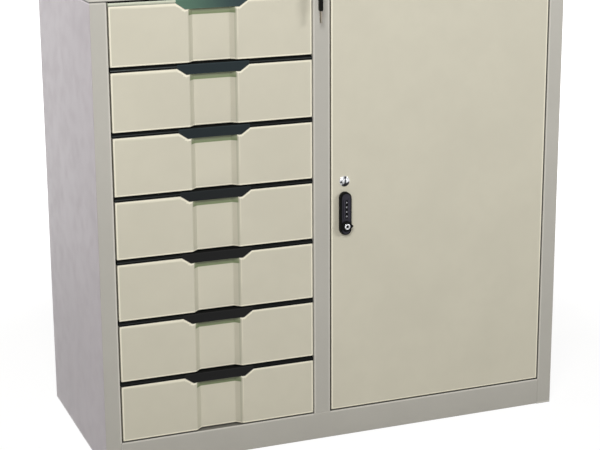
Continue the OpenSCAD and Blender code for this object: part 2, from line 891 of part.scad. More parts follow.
module gang_key_bow()
    color(black) placed()
        difference() {
            bow(gang_x, bow_y - bow_len, gang_z - bow_w / 2, bow_y, gang_z + bow_w / 2, bow_w / 4,
                hole_y, gang_z);
            block(gang_x - blade_t / 2, bow_y - bow_len / 3, gang_z - blade_w / 2,
                  gang_x + blade_t / 2, bow_y + past, gang_z + blade_w / 2);
        }

module key_ring()
    color(chromed) placed()
        translate([gang_x, hole_y, ring_z]) rotate([90, 0, 0])
            rotate_extrude() translate([ring_r, 0]) circle(r = ring_wire_r);

module spare_key()
    color(zinc) placed()
        block(gang_x - blade_t / 2, hole_y - blade_w / 2, spare_bow_top - spare_bow_len - blade_len,
              gang_x + blade_t / 2, hole_y + blade_w / 2, spare_bow_top - 2 * spare_bow_len / 3);

module spare_key_bow()
    color(black) placed()
        difference() {
            bow(gang_x, hole_y - spare_bow_w / 2, spare_bow_top - spare_bow_len,
                hole_y + spare_bow_w / 2, spare_bow_top, spare_bow_w / 3, hole_y, spare_hole_z);
            block(gang_x - blade_t / 2, hole_y - blade_w / 2, spare_bow_top - spare_bow_len - past,
                  gang_x + blade_t / 2, hole_y + blade_w / 2, spare_bow_top - 2 * spare_bow_len / 3);
        }

left_side_panel();
right_side_panel();
back_panel();
base_pan();
base_rail();
top_cap();
centre_partition();
rear_upright();
cabinet_runners();
cabinet_rollers();
shelf_upper();
shelf_lower();
shelf_standards();
shelf_clips();
hinge_plates();
hinge_pins();
gang_lock_housing();
lock_bar_guides();
lock_bar();
gang_lock_plug();
gang_lock_cam();
gang_key();
gang_key_bow();
key_ring();
spare_key();
spare_key_bow();
door_skin();
door_liner();
cam_lock_housing();
cam_lock_plug();
cam_lock_tongue();
combination_lock_case();
for (k = [0:wheel_count - 1])
    number_wheel(k);
combination_knob();
override_plug();
combination_tongue();
for (n = [1:drawer_count]) {
    drawer_front(n);
    drawer_tray(n);
    drawer_handle(n);
}
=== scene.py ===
"""Looks of the lockable steel cabinet: camera, light, floor, pressed and moulded pieces, finishes.

Lengths are in millimetres from the cabinet's left, front, bottom corner: X to the right, Y from
the front face towards the back, Z up from the floor. Piece.place() turns them into metres.
"""
import json
import math

import bmesh
import bpy
import numpy as np
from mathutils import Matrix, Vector
from mathutils.geometry import delaunay_2d_cdt


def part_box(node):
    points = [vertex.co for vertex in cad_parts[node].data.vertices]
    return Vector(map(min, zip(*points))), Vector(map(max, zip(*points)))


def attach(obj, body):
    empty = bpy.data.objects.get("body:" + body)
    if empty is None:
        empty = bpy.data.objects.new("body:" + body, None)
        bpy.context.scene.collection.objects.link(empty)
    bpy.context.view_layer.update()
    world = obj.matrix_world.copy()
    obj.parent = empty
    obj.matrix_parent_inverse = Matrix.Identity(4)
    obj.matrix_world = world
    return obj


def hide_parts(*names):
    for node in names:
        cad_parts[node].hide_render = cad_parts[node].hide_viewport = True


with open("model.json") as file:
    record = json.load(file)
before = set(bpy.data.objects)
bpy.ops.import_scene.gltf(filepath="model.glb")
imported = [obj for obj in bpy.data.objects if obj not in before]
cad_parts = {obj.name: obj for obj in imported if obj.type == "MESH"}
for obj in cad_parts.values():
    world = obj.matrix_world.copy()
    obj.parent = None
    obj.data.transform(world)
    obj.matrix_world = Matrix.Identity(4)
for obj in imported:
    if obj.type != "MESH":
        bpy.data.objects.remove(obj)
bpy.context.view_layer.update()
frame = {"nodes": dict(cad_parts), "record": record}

MM = 0.001
CORNER = np.array(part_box("left_side_panel")[0])


def box_of(node):
    """Lowest and highest corner of a CAD node, in millimetres from the cabinet's corner."""
    low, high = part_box(node)
    return (np.array(low) - CORNER) / MM, (np.array(high) - CORNER) / MM


def middle_of(node):
    """Middle of a CAD node's box."""
    return sum(box_of(node)) / 2


CAP_LOW, CAP_HIGH = box_of("top_cap")
POST_LOW, POST_HIGH = box_of("centre_partition")
RAIL_LOW, RAIL_HIGH = box_of("base_rail")
DOOR_LOW, DOOR_HIGH = box_of("door_skin")
CASE_LOW, CASE_HIGH = box_of("combination_lock_case")

# Sheet, outer radius of its folds, width of the light line along an edge, width of inner flanges
SHEET = 1.0
FOLD = 2.0
RIM = 4.0
FLANGE = 18
DRAWERS = range(1, 8)
SLOT_CORNER = 0.8

# Handle strip, its finger pull, and the channel pressed into a drawer front with its creases
STRIP = 7
GAP = 0.3
PULL_TOP, PULL_LOW, PULL_DROP, PULL_THICK = 130, 97, 11, 2.5
MOUTH, FLOOR, CHANNEL_DEPTH, CREASE = 88 / 2, 66 / 2, 10, 3

# Locks: barrels, their play, the knob's bore, and the room and height that a wheel turns in
BARREL = 8.0
PLAY = 0.05
KNOB_BORE = 5.05
WHEEL_ROOM, WHEEL_REACH = 6.62, 3.95
LOCK_X, _, LOCK_Z = middle_of("cam_lock_housing")
KNOB_Z = middle_of("override_plug")[2]
WHEELS = np.array([middle_of(f"number_wheel_{k}") for k in range(1, 5)])
WHEEL_Y = WHEELS[0, 1]
WHEEL_TOP, WHEEL_FOOT = WHEELS[0, 2], WHEELS[3, 2]

# Keys
KEY_HOLE = 2.6
KEY_HOLE_Y = middle_of("key_ring")[1]

# How near two points of an outline may be, the smallest triangle that fills one, how near points
# are made one, and the turn from which an edge shows sharp
MEET = 1e-6
SLIVER = 1e-7
MERGED = 0.01
SHARP = math.radians(35)


def link(name, data, place=(0, 0, 0)):
    """An object in the scene with its data, at a place in metres."""
    obj = bpy.data.objects.new(name, data)
    obj.location = place
    bpy.context.scene.collection.objects.link(obj)
    return obj


# ---------- Shapes ----------

# Where the axes of a flat outline (u, v) and its height w point, for a piece that faces a way
FACING = {
    "front": [[1, 0, 0], [0, 0, 1], [0, -1, 0]],
    "up": [[1, 0, 0], [0, 1, 0], [0, 0, 1]],
    "right": [[0, 1, 0], [0, 0, 1], [1, 0, 0]],
}


def facing(way, points, at=(0, 0, 0)):
    """Points (u, v, w) as X, Y, Z: u, v and w times the axes of that way, plus the place."""
    return np.asarray(points, float) @ np.array(FACING[way], float) + at


def grid_faces(rows, columns, round_rows=False, round_columns=False):
    """Quads of a grid: (i, j), (i, j + 1), (i + 1, j + 1), (i + 1, j), wrapping where it is round."""
    i, j = np.indices((rows - 1 + round_rows, columns - 1 + round_columns))
    i2 = (i + 1) % rows
    j2 = (j + 1) % columns
    quads = np.stack([i * columns + j, i * columns + j2, i2 * columns + j2, i2 * columns + j], -1)
    return quads.reshape(-1, 4)


def arc(u, v, radius, start, end, steps):
    """Points at (u + r cos a, v + r sin a), for angles a from start to end in degrees."""
    a = np.radians(np.linspace(start, end, steps + 1))
    return np.stack([u + radius * np.cos(a), v + radius * np.sin(a)], -1)


def rounded_box(u0, v0, u1, v1, radius, steps=6):
    """A rectangle's outline, anticlockwise, with a quarter circle at each corner."""
    return np.concatenate([
        arc(u1 - radius, v0 + radius, radius, -90, 0, steps),
        arc(u1 - radius, v1 - radius, radius, 0, 90, steps),
        arc(u0 + radius, v1 - radius, radius, 90, 180, steps),
        arc(u0 + radius, v0 + radius, radius, 180, 270, steps),
    ])


def circle(u, v, radius, steps=48):
    """An anticlockwise circle's points, the first not repeated."""
    return arc(u, v, radius, 0, 360, steps)[:-1]


def rounded_path(corners, radii, steps=5, closed=False):
    """A path whose corner p becomes an arc that touches both its lines at r tan(turn / 2) from p."""
    corners = np.asarray(corners, float)
    count = len(corners)
    points = []
    for i, (corner, radius) in enumerate(zip(corners, np.broadcast_to(radii, count))):
        if radius == 0 or (not closed and i in (0, count - 1)):
            points.append(corner[None])
            continue
        into = corner - corners[i - 1]
        out = corners[(i + 1) % count] - corner
        into = into / np.linalg.norm(into)
        out = out / np.linalg.norm(out)
        turn = math.atan2(into[0] * out[1] - into[1] * out[0], into @ out)
        side = math.copysign(1, turn)
        reach = radius * math.tan(abs(turn) / 2)
        centre = corner - into * reach + side * radius * np.array([-into[1], into[0]])
        a = math.atan2(-side * into[0], side * into[1]) + np.linspace(0, turn, steps + 1)
        points.append(centre + radius * np.stack([np.cos(a), np.sin(a)], -1))
    return np.concatenate(points)


def rolled(top):
    """(inset, height) pairs of a rolled edge, a quarter circle that ends at the top."""
    return [(FOLD - u, top - FOLD + v) for u, v in arc(0, 0, FOLD, 0, 90, 6)]


def beside(path, distance, closed=False):
    """A path moved to its left: each point goes along its two lines' mean normal, lengthened by
    1 over the cosine of half the turn."""
    path = np.asarray(path, float)
    step = np.diff(np.concatenate([path, path[:1]]) if closed else path, axis=0)
    step /= np.linalg.norm(step, axis=1)[:, None]
    normal = np.stack([-step[:, 1], step[:, 0]], -1)
    before = np.roll(normal, 1, 0) if closed else np.concatenate([normal[:1], normal])
    after = normal if closed else np.concatenate([normal, normal[-1:]])
    mean = before + after
    mean /= np.linalg.norm(mean, axis=1)[:, None]
    return path + mean * (distance / (mean * after).sum(1))[:, None]


def split_at(path, axis, values, closed=False):
    """A path with a point added wherever one of its lines crosses a value of u or v."""
    path = np.asarray(path, float)
    for value in values:
        ends = np.roll(path, -1, 0) if closed else np.concatenate([path[1:], path[-1:]])
        crossed = np.flatnonzero((path[:, axis] - value) * (ends[:, axis] - value) < 0)
        share = (value - path[crossed, axis]) / (ends[crossed, axis] - path[crossed, axis])
        added = path[crossed] + share[:, None] * (ends[crossed] - path[crossed])
        path = np.insert(path, crossed + 1, added, axis=0)
    return path


def inset_path(corners, radii, steps=5):
    """A closed path as a function of how far it is moved inward; its arcs keep their centres, so
    their radii fall at outer corners and grow at inner ones."""
    corners = np.asarray(corners, float)
    into = corners - np.roll(corners, 1, 0)
    out = np.roll(corners, -1, 0) - corners
    turn = np.sign(into[:, 0] * out[:, 1] - into[:, 1] * out[:, 0])

    def moved(inset):
        kept = np.maximum(np.asarray(radii, float) - turn * inset, 0.02)
        return rounded_path(beside(corners, inset, True), kept, steps, closed=True)

    return moved


def folded_outline(path):
    """The closed section of a sheet folded along a path, half its thickness to each side."""
    line = rounded_path(path, FOLD - SHEET / 2)
    return np.concatenate([beside(line, -SHEET / 2), beside(line, SHEET / 2)[::-1]])


def filled(loops):
    """Triangles that fill the first loop and leave the later loops open: a Delaunay net of all the
    points, less the triangles whose middles lie outside by the even-odd rule."""
    points = np.concatenate(loops)
    starts = np.cumsum([0] + [len(loop) for loop in loops])
    after = np.concatenate([
        np.roll(np.arange(len(loop)), -1) + start for loop, start in zip(loops, starts)
    ])
    edges = np.column_stack([np.arange(len(points)), after])
    _, _, net, own, _, _ = delaunay_2d_cdt([Vector(p) for p in points], edges.tolist(), [], 0, MEET)
    triangles = np.array([same[0] for same in own])[np.array(net)]
    triangles = triangles[[abs(signed_area(points[t])) > SLIVER for t in triangles]]
    u, v = points[triangles].mean(1).T[:, :, None]
    a, b = points, points[after]
    rise = np.where(b[:, 1] == a[:, 1], 1, b[:, 1] - a[:, 1])
    crossing = a[:, 0] + (v - a[:, 1]) / rise * (b[:, 0] - a[:, 0])
    crossed = ((a[:, 1] > v) != (b[:, 1] > v)) & (u < crossing)
    return triangles[crossed.sum(1) % 2 == 1]


def signed_area(loop):
    """Half the sum of u v' - v u' round a loop: above 0 where it runs anticlockwise."""
    u, v = loop[:, 0], loop[:, 1]
    return 0.5 * float((u * np.roll(v, -1) - v * np.roll(u, -1)).sum())


class Piece:
    """A mesh in the making. Shells are added in millimetres and the object comes from place()."""

    def __init__(self, name):
        self.name = name
        self.points, self.faces, self.rims, self.marks = [], [], [], []
        self.count = 0

    def add(self, points, faces, rim=0.0, mark=0):
        """Adds a shell. rim says how near a point is to an edge, mark is its faces' finish, each as
        a number, a list, or a function of the points or of the faces' middles."""
        points = np.asarray(points, float)
        self.points.append(points)
        self.rims.append(np.broadcast_to(rim(points) if callable(rim) else rim, len(points)))
        blocks = faces if isinstance(faces, list) else [faces]
        marks = mark if isinstance(mark, list) else [mark] * len(blocks)
        for block, finish in zip(blocks, marks):
            block = np.asarray(block)
            if callable(finish):
                finish = finish(points[block].mean(1)).astype(int)
            self.marks += np.broadcast_to(finish, len(block)).tolist()
            self.faces += (block + self.count).tolist()
        self.count += len(points)
        return self

    def carried(self, way, section, levels, at=(0, 0, 0), rim=0.0, mark=0):
        """A closed section carried straight along w through the levels, closed at both ends."""
        return self.solid(way, section, [(0, w) for w in levels], at, rim=rim, mark=mark)

    def solid(self, way, outline, profile, at=(0, 0, 0), holes=(), rim=0.0, mark=0, hole_mark=0):
        """A plate: rings of the outline at (inset, height) pairs, closed at both ends. The outline
        is a loop, or a function of its inset. Holes go straight through, with walls. A list of rims
        has a number for each ring, or a row for each with a number for each of its points."""
        ringed = isinstance(rim, (list, np.ndarray))
        rim = np.reshape(rim, (len(profile), -1)) if ringed else rim
        if not callable(outline) and signed_area(outline) < 0:
            outline = outline[::-1]
            rim = rim[:, ::-1] if ringed else rim
        loops = [outline(d) if callable(outline) else beside(outline, d, True) for d, _ in profile]
        rings = [np.column_stack([loop, np.full(len(loop), w)]) for loop, (_, w) in zip(loops, profile)]
        n = len(loops[0])
        count = n * len(rings)
        # the numbers of the points of both ends, their outline first and then their holes
        bottom, top = [np.arange(n)], [np.arange(count - n, count)]
        faces = [grid_faces(len(rings), n, round_columns=True)]
        for hole in holes:
            m = len(hole)
            rings += [np.column_stack([hole, np.full(m, w)]) for w in (profile[-1][1], profile[0][1])]
            top.append(np.arange(count, count + m))
            bottom.append(np.arange(count + m, count + 2 * m))
            faces.append(grid_faces(2, m, round_columns=True) + count)
            count += 2 * m
        faces.append(np.concatenate(top)[filled([loops[-1], *holes])])
        faces.append(np.concatenate(bottom)[filled([loops[0], *holes])][:, ::-1])
        if ringed:
            rim = np.append(np.broadcast_to(rim, (len(profile), n)), np.zeros(count - n * len(profile)))
        marks = [mark] + [hole_mark] * len(holes) + [mark] * 2
        return self.add(facing(way, np.concatenate(rings), at), faces, rim, marks)

    def turned(self, way, profile, at=(0, 0, 0), steps=48, rim=0.0, mark=0, ring=False, flutes=None):
        """A turned shape: (radius, height) pairs carried round an axis, closed by flat ends, or
        back on itself for a ring. Flutes are a radius, and a function of the angle that says how
        far the points outside that radius are drawn in."""
        profile = np.asarray(profile, float)
        a = np.radians(np.arange(steps) * 360 / steps)
        radius = np.broadcast_to(profile[:, :1], (len(profile), steps))
        if flutes:
            radius = radius - flutes[1](a) * (radius > flutes[0])
        height = np.broadcast_to(profile[:, 1:], radius.shape)
        points = np.stack([radius * np.cos(a), radius * np.sin(a), height], -1).reshape(-1, 3)
        faces = [grid_faces(len(profile), steps, round_rows=ring, round_columns=True)]
        if not ring:
            j = np.arange(steps)
            faces += [((len(profile) - 1) * steps + j)[None], j[::-1][None]]
        return self.add(facing(way, points, at), faces, rim, mark)

    def object(self, finishes=()):
        """The object in metres, at the origin."""
        mesh = bpy.data.meshes.new(self.name)
        points = np.concatenate(self.points) * MM + CORNER
        mesh.from_pydata(points.tolist(), [], self.faces)
        rim = mesh.attributes.new("rim", "FLOAT", "POINT")
        rim.data.foreach_set("value", np.concatenate(self.rims).astype(np.float32))
        for finish in finishes:
            mesh.materials.append(finish)
        mesh.polygons.foreach_set("material_index", np.array(self.marks, np.int32))
        return link(self.name, mesh)

    def place(self, body, slot, finishes, stands_for=(), wall=0.0, cut=(), merge=False):
        """Makes the object with its finishes, takes other shapes out of it, and gives it to a body."""
        obj = self.object(finishes)
        if cut:
            tools = [tool.object(finishes) for tool in cut]
            for tool in tools:
                taken = obj.modifiers.new("cut", "BOOLEAN")
                taken.operation = "DIFFERENCE"
                taken.solver = "EXACT"
                taken.material_mode = "INDEX"
                taken.object = tool
            depsgraph = bpy.context.evaluated_depsgraph_get()
            solid = bpy.data.meshes.new_from_object(obj.evaluated_get(depsgraph))
            obj.modifiers.clear()
            obj.data = solid
            for tool in tools:
                bpy.data.objects.remove(tool)
        if merge:
            shape = bmesh.new()
            shape.from_mesh(obj.data)
            bmesh.ops.remove_doubles(shape, verts=shape.verts, dist=MERGED * MM)
            shape.to_mesh(obj.data)
            shape.free()
        obj.data.shade_smooth()
        obj.data.set_sharp_from_angle(angle=SHARP)
        if wall:
            solidify = obj.modifiers.new("wall", "SOLIDIFY")
            solidify.thickness = wall * MM
            solidify.offset = -1
            solidify.use_even_offset = True
        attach(obj, body)
        if stands_for:
            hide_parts(*stands_for)
        return obj


def drill(way, radius, start, end, at, mark=0):
    """A round bar along a way, from start to end, to take out of a piece."""
    return Piece("drill").turned(way, [(radius, start), (radius, end)], at, mark=mark)


# ---------- Finishes ----------

class Value:
    """A socket's number in a node tree. Arithmetic on it adds Math nodes."""

    def __init__(self, nodes, socket):
        self.nodes = nodes
        self.socket = socket

    def maths(self, operation, a, b, clamp=False):
        node = self.nodes.node("Math", {"operation": operation, "use_clamp": clamp}, {0: a, 1: b})
        return Value(self.nodes, node.outputs[0])

    def __add__(self, other):
        return self.maths("ADD", self, other)

    __radd__ = __add__

    def __sub__(self, other):
        return self.maths("SUBTRACT", self, other)

    def __rsub__(self, other):
        return self.maths("SUBTRACT", other, self)

    def __mul__(self, other):
        return self.maths("MULTIPLY", self, other)

    __rmul__ = __mul__

    def clamped(self):
        return self.maths("ADD", self, 0.0, clamp=True)

    def above(self, low, high):
        """0 below low, 1 above high, and a smooth step between."""
        node = self.nodes.node(
            "MapRange", {"interpolation_type": "SMOOTHSTEP"}, {0: self, 1: low, 2: high, 3: 0.0, 4: 1.0}
        )
        return Value(self.nodes, node.outputs[0])


class Nodes:
    """The node tree of a material or a world, emptied first."""

    def __init__(self, owner):
        owner.use_nodes = True
        self.tree = owner.node_tree
        self.tree.nodes.clear()

    def node(self, kind, settings=None, sockets=None):
        """Adds a node: its settings first, a ramp's stops among them, then its sockets' values or
        links."""
        node = self.tree.nodes.new("ShaderNode" + kind)
        for key, value in (settings or {}).items():
            if key == "stops":
                ramp = node.color_ramp.elements
                while len(ramp) < len(value):
                    ramp.new(0.5)
                for element, (position, colour) in zip(ramp, value):
                    element.position = position
                    element.color = colour
            else:
                setattr(node, key, value)
        for key, value in (sockets or {}).items():
            if isinstance(value, Value):
                value = value.socket
            if isinstance(value, bpy.types.NodeSocket):
                self.tree.links.new(value, node.inputs[key])
            else:
                node.inputs[key].default_value = value
        return node

    def shown(self):
        """1 for a ray from the camera, a reflection or glass, and 0 for one that lights a surface."""
        path = self.node("LightPath")
        seen = Value(self, path.outputs["Is Camera Ray"])
        for ray in ("Is Glossy Ray", "Is Transmission Ray"):
            seen = seen.maths("MAXIMUM", seen, Value(self, path.outputs[ray]))
        return seen


class Finish(Nodes):
    """A material: a Principled shader with its constants, and the nodes that vary it."""

    def __init__(self, name, **constants):
        self.material = bpy.data.materials.new(name)
        super().__init__(self.material)
        constants = {key.replace("_", " "): value for key, value in constants.items()}
        self.shader = self.node("BsdfPrincipled", {}, constants)
        self.output = self.node("OutputMaterial", {}, {"Surface": self.shader.outputs[0]})
        self.where = self.node("TexCoord").outputs["Object"]

    def noise(self, scale, detail=2.0, roughness=0.5, stretch=(1, 1, 1), offset=0.0):
        """Noise from 0 to 1 on the piece's own coordinates, scale in waves per metre."""
        where = self.node(
            "Mapping", {}, {"Vector": self.where, "Scale": stretch, "Location": (offset,) * 3})
        made = self.node("TexNoise", {}, {
            "Vector": where.outputs[0], "Scale": scale, "Detail": detail, "Roughness": roughness,
        })
        return Value(self, made.outputs[0])

    def attribute(self, name):
        return Value(self, self.node("Attribute", {"attribute_name": name}).outputs["Fac"])

    def mix(self, share, a, b):
        """Colour a where the share is 0 and colour b where it is 1."""
        return self.node("Mix", {"data_type": "RGBA"}, {"Factor": share, 6: a, 7: b}).outputs[2]

    def brighter(self, colour, factor):
        """A colour, or a colour socket, times a factor."""
        if not isinstance(colour, bpy.types.NodeSocket):
            return toned(colour, factor)
        return self.node("VectorMath", {"operation": "SCALE"}, {0: colour, "Scale": factor}).outputs[0]

    def bump(self, height, strength, distance):
        made = self.node("Bump", {}, {"Height": height, "Strength": strength, "Distance": distance})
        self.vary(Normal=made.outputs[0])

    def vary(self, **sockets):
        for key, value in sockets.items():
            value = value.socket if isinstance(value, Value) else value
            self.tree.links.new(value, self.shader.inputs[key.replace("_", " ")])


def rgb(r, g, b):
    """A linear colour from its 8-bit screen values."""
    screen = np.array([r, g, b]) / 255
    linear = np.where(screen <= 0.04045, screen / 12.92, ((screen + 0.055) / 1.055) ** 2.4)
    return (*linear.tolist(), 1.0)


def toned(colour, factor):
    """A colour times a factor, no channel over 1."""
    return (*(min(1.0, c * factor) for c in colour[:3]), 1.0)


def powder_coat(name, colour, roughness=0.42, edge=1.3, shade_colour=None):
    """Baked powder coat: faint mottling, orange-peel bump, a painted highlight beside the folds and
    painted shade on the edges themselves, where they face a gap. The shade colour is painted
    shadow and shade in recesses, at the points with a rim below 0."""
    f = Finish(name, IOR=1.5)
    mottle = f.noise(7, 3).above(0.3, 0.7)
    haze = f.noise(38, 2, offset=3.1).above(0.35, 0.75)
    rim = f.attribute("rim")
    speck = f.noise(1400, 1, offset=7.7).above(0.66, 0.74)
    # Painted highlight: a lighter line beside each fold
    edge_highlight = rim.above(0.02, 0.35) * (0.7 + 0.3 * f.noise(60, 3, offset=1.3))
    # Painted shade: dark where the fold turns away into a gap
    gap_shade = rim.above(0.77, 0.99)
    base = f.mix(mottle, toned(colour, 0.975), toned(colour, 1.02))
    for share, tone in ((haze * 0.25, 0.95), (speck * 0.10, 0.72), (edge_highlight, edge), (gap_shade * 0.85, 0.12)):
        base = f.mix(share, base, toned(colour, tone))
    # Painted shadow and shade in recesses, where the rim is below 0
    if shade_colour:
        base = f.mix((0.0 - rim).clamped(), base, shade_colour)
    f.vary(Base_Color=base, Roughness=roughness + 0.10 * haze - 0.08 * edge_highlight)
    peel = f.noise(520, 2) + 0.35 * f.noise(150, 1, offset=5.0)
    f.bump(peel, 0.10, 0.0004)
    return f.material


def plated(name, colour, roughness, brush=(1, 1, 1), spangle=0.0):
    """Plated steel: a brushed or spangled sheen with darker handling marks, and painted dark
    reflections and shade where a point's rim is 1."""
    f = Finish(name, Metallic=1.0)
    grain = f.noise(900, 2, stretch=brush)
    marks = f.noise(45, 4, offset=2.0).above(0.45, 0.8)
    base = f.mix(grain, toned(colour, 0.93), toned(colour, 1.05))
    base = f.mix(marks * 0.35, base, toned(colour, 0.78))
    if spangle:
        crystals = f.node("TexVoronoi", {}, {"Vector": f.where, "Scale": 240.0})
        tint = f.node("RGBToBW", {}, {"Color": crystals.outputs["Color"]}).outputs[0]
        base = f.mix(Value(f, tint) * spangle, base, toned(colour, 1.18))
    # Painted dark reflections and shade, where the rim reaches 1
    base = f.mix(f.attribute("rim").clamped(), base, toned(colour, 0.025))
    f.vary(Base_Color=base, Roughness=roughness + 0.12 * grain + 0.10 * marks)
    f.bump(grain, 0.05, 0.0002)
    return f.material


def moulded_plastic(name, colour, roughness, grain=900, depth=0.12, edge=1.9, gloss=0.5, other=None):
    """Moulded plastic: spark-eroded grain, a little dust, edges paler where the rim says, from rubbing
    and as painted highlights on bevels and ridges. The other is an axis, two places on it and the
    colour at the second, for a tone that changes along the piece."""
    f = Finish(name, IOR=1.49, Specular_IOR_Level=gloss)
    fine = f.noise(grain, 3, 0.6)
    if other:
        axis, start, end, far_colour = other
        place = f.node("SeparateXYZ", {}, {0: f.where}).outputs[axis]
        colour = f.mix(Value(f, place).above(start, end), colour, far_colour)
    dust = f.noise(80, 3, offset=4.2).above(0.5, 0.85)
    rub_and_highlight = (f.attribute("rim") * (0.6 + 0.8 * f.noise(130, 3, offset=9.0))).clamped()
    base = f.mix(dust * 0.2, colour, f.brighter(colour, 1.35))
    base = f.mix(rub_and_highlight, base, f.brighter(colour, edge))
    f.vary(Base_Color=base, Roughness=roughness + 0.12 * fine - 0.10 * rub_and_highlight)
    f.bump(fine, depth, 0.0003)
    return f.material


SIDE = powder_coat("side_paint", rgb(204, 196, 200))
FRAME = powder_coat("frame_paint", rgb(186, 183, 174), edge=1.35)
# The cream's olive colour is painted shadow and shade, under the finger pulls and on the channel walls
CREAM = powder_coat("cream_paint", rgb(212, 207, 188), 0.45, edge=1.5, shade_colour=rgb(118, 131, 93))
INNER = powder_coat("inner_paint", rgb(196, 195, 190), 0.48)
ZINC = plated("zinc_plate", rgb(196, 199, 204), 0.30, spangle=0.35)
CHROME = plated("chrome_plate", rgb(232, 233, 236), 0.05)
NICKEL = plated("nickel", rgb(134, 128, 119), 0.28, brush=(1, 6, 1))
# Slate: lighter and bluer higher up, painted light for the brighter light on the upper pulls
SLATE = moulded_plastic(
    "slate_plastic", rgb(19, 19, 19), 0.5, gloss=0.14, other=("Z", 0.38, 0.72, rgb(34, 43, 46)))
# Copies of the slate plastic with painted glare for the top drawer: a teal reflection on the pull, darker
# to the right, and a pale highlight on the strip's left part
TEAL_GLARE = moulded_plastic(
    "slate_painted_glare", rgb(88, 118, 101), 0.5, gloss=0.14, other=("X", -0.30, -0.18, rgb(53, 67, 70)))
STRIP_GLARE = moulded_plastic(
    "strip_painted_glare", rgb(220, 224, 203), 0.5, edge=0.6, gloss=0.14,
    other=("X", -0.31, -0.20, rgb(9, 10, 10)))
# Near-black strip whose rim, raised 38 times, is a painted highlight along its ridge
STRIP_BLACK = moulded_plastic("strip_plastic", rgb(7, 8, 8), 0.6, edge=38.0, gloss=0.07)
BLACK = moulded_plastic("black_plastic", rgb(6, 6, 6), 0.42, gloss=0.08)
CASE_FACE = moulded_plastic("case_face", rgb(40, 38, 47), 0.5, gloss=0.25)
NYLON = moulded_plastic("nylon", rgb(225, 222, 212), 0.45, edge=1.05)
# Near-black painted shade for the walls of key holes, the lock's wheel room and knob bore; the hinges take
# it too
DARK = moulded_plastic("lock_recess", rgb(10, 10, 11), 0.7, gloss=0.1)
INK = moulded_plastic("number_ink", rgb(205, 205, 212), 0.5, edge=1.0)

# A CAD node takes the finish of its slot, apart from the hinges and the combination lock's tongue
SLOT_FINISH = dict(
    side_paint=SIDE, frame_paint=FRAME, cream_paint=CREAM, inner_paint=INNER, zinc_plate=ZINC,
    chrome_plate=CHROME, nickel=NICKEL, slate_plastic=SLATE, black_plastic=BLACK, nylon=NYLON,
)
NODE_FINISH = {"hinge_plates": DARK, "hinge_pins": DARK, "combination_tongue": ZINC}
for part in frame["record"]["subparts"]:
    materials = frame["nodes"][part["node"]].data.materials
    materials.clear()
    materials.append(NODE_FINISH.get(part["node"], SLOT_FINISH[part["material_slot"]]))


# ---------- Steel frame ----------

def near_edge(distance):
    """1 at an edge, falling to 0 at RIM from it."""
    return np.clip(1 - np.asarray(distance, float) / RIM, 0, 1)


def side_panel(name, mirrored):
    """Side, front stile and back return: one folded section carried up from the floor."""
    low, high = box_of(name)
    stile = (high - low)[0]
    depth = high[1]
    half = SHEET / 2
    section = folded_outline([
        (stile - half, FLANGE), (stile - half, half), (half, half),
        (half, depth - half), (FLANGE, depth - half),
    ])
    section = split_at(section, 0, [stile - RIM], closed=True)
    if mirrored:
        section[:, 0] = high[0] - section[:, 0]

    def out_from_side(points):
        return high[0] - points[:, 0] if mirrored else points[:, 0]

    # Painted highlight and shade along the stile's inner edge and the sheet's ends
    def rim(points):
        ends = np.minimum(points[:, 2], high[2] - points[:, 2] - 0.5)
        inner = stile - out_from_side(points)
        beside_rail = np.interp(points[:, 2], [RAIL_HIGH[2] - 1, RAIL_HIGH[2]], [0.05, 1])
        return np.maximum(near_edge(ends), beside_rail * near_edge(inner) * (points[:, 1] < FOLD))

    def front_finish(centres):
        return (out_from_side(centres) > centres[:, 1]) & (centres[:, 1] < FLANGE + 1)

    levels = [0, 0.6, RIM, RAIL_HIGH[2] - 1, RAIL_HIGH[2], high[2] - RIM, high[2] - 0.5, high[2]]
    sheet = Piece(name.replace("panel", "sheet"))
    sheet.carried("up", section, levels, rim=rim, mark=front_finish)
    sheet.place("carcass", "side_paint", [SIDE, FRAME], [name])


def base_rail():
    """Channel across the foot: its section carried from stile to stile."""
    half = SHEET / 2
    top = RAIL_HIGH[2]
    section = folded_outline([(FLANGE, top - half), (half, top - half), (half, half), (FLANGE, half)])
    section = split_at(section, 1, [top - RIM], closed=True)
    levels = [RAIL_LOW[0], RAIL_LOW[0] + 0.5, RAIL_LOW[0] + RIM]
    levels += [POST_LOW[0] - 1.1, POST_LOW[0] - 0.9, POST_HIGH[0] + 0.9, POST_HIGH[0] + 1.1]
    levels += [RAIL_HIGH[0] - RIM, RAIL_HIGH[0] - 0.5, RAIL_HIGH[0]]

    # Painted shade on the top flange behind the front, in the gap under the drawers and door, and a faint
    # painted highlight along the top edge away from the post
    def rim(points):
        x, y, z = points.T
        ends = np.minimum(x - RAIL_LOW[0], RAIL_HIGH[0] - x)
        under_post = (x > POST_LOW[0] - 1) & (x < POST_HIGH[0] + 1)
        front = np.maximum(0.05 * near_edge(ends), 0.8 * near_edge(top - z) * ~under_post)
        return np.where((z > top - SHEET - 0.2) & (y > 0.5), 1, front * (y < FOLD))

    Piece("base_rail_sheet").carried("right", section, levels, rim=rim).place(
        "carcass", "frame_paint", [FRAME], ["base_rail"])


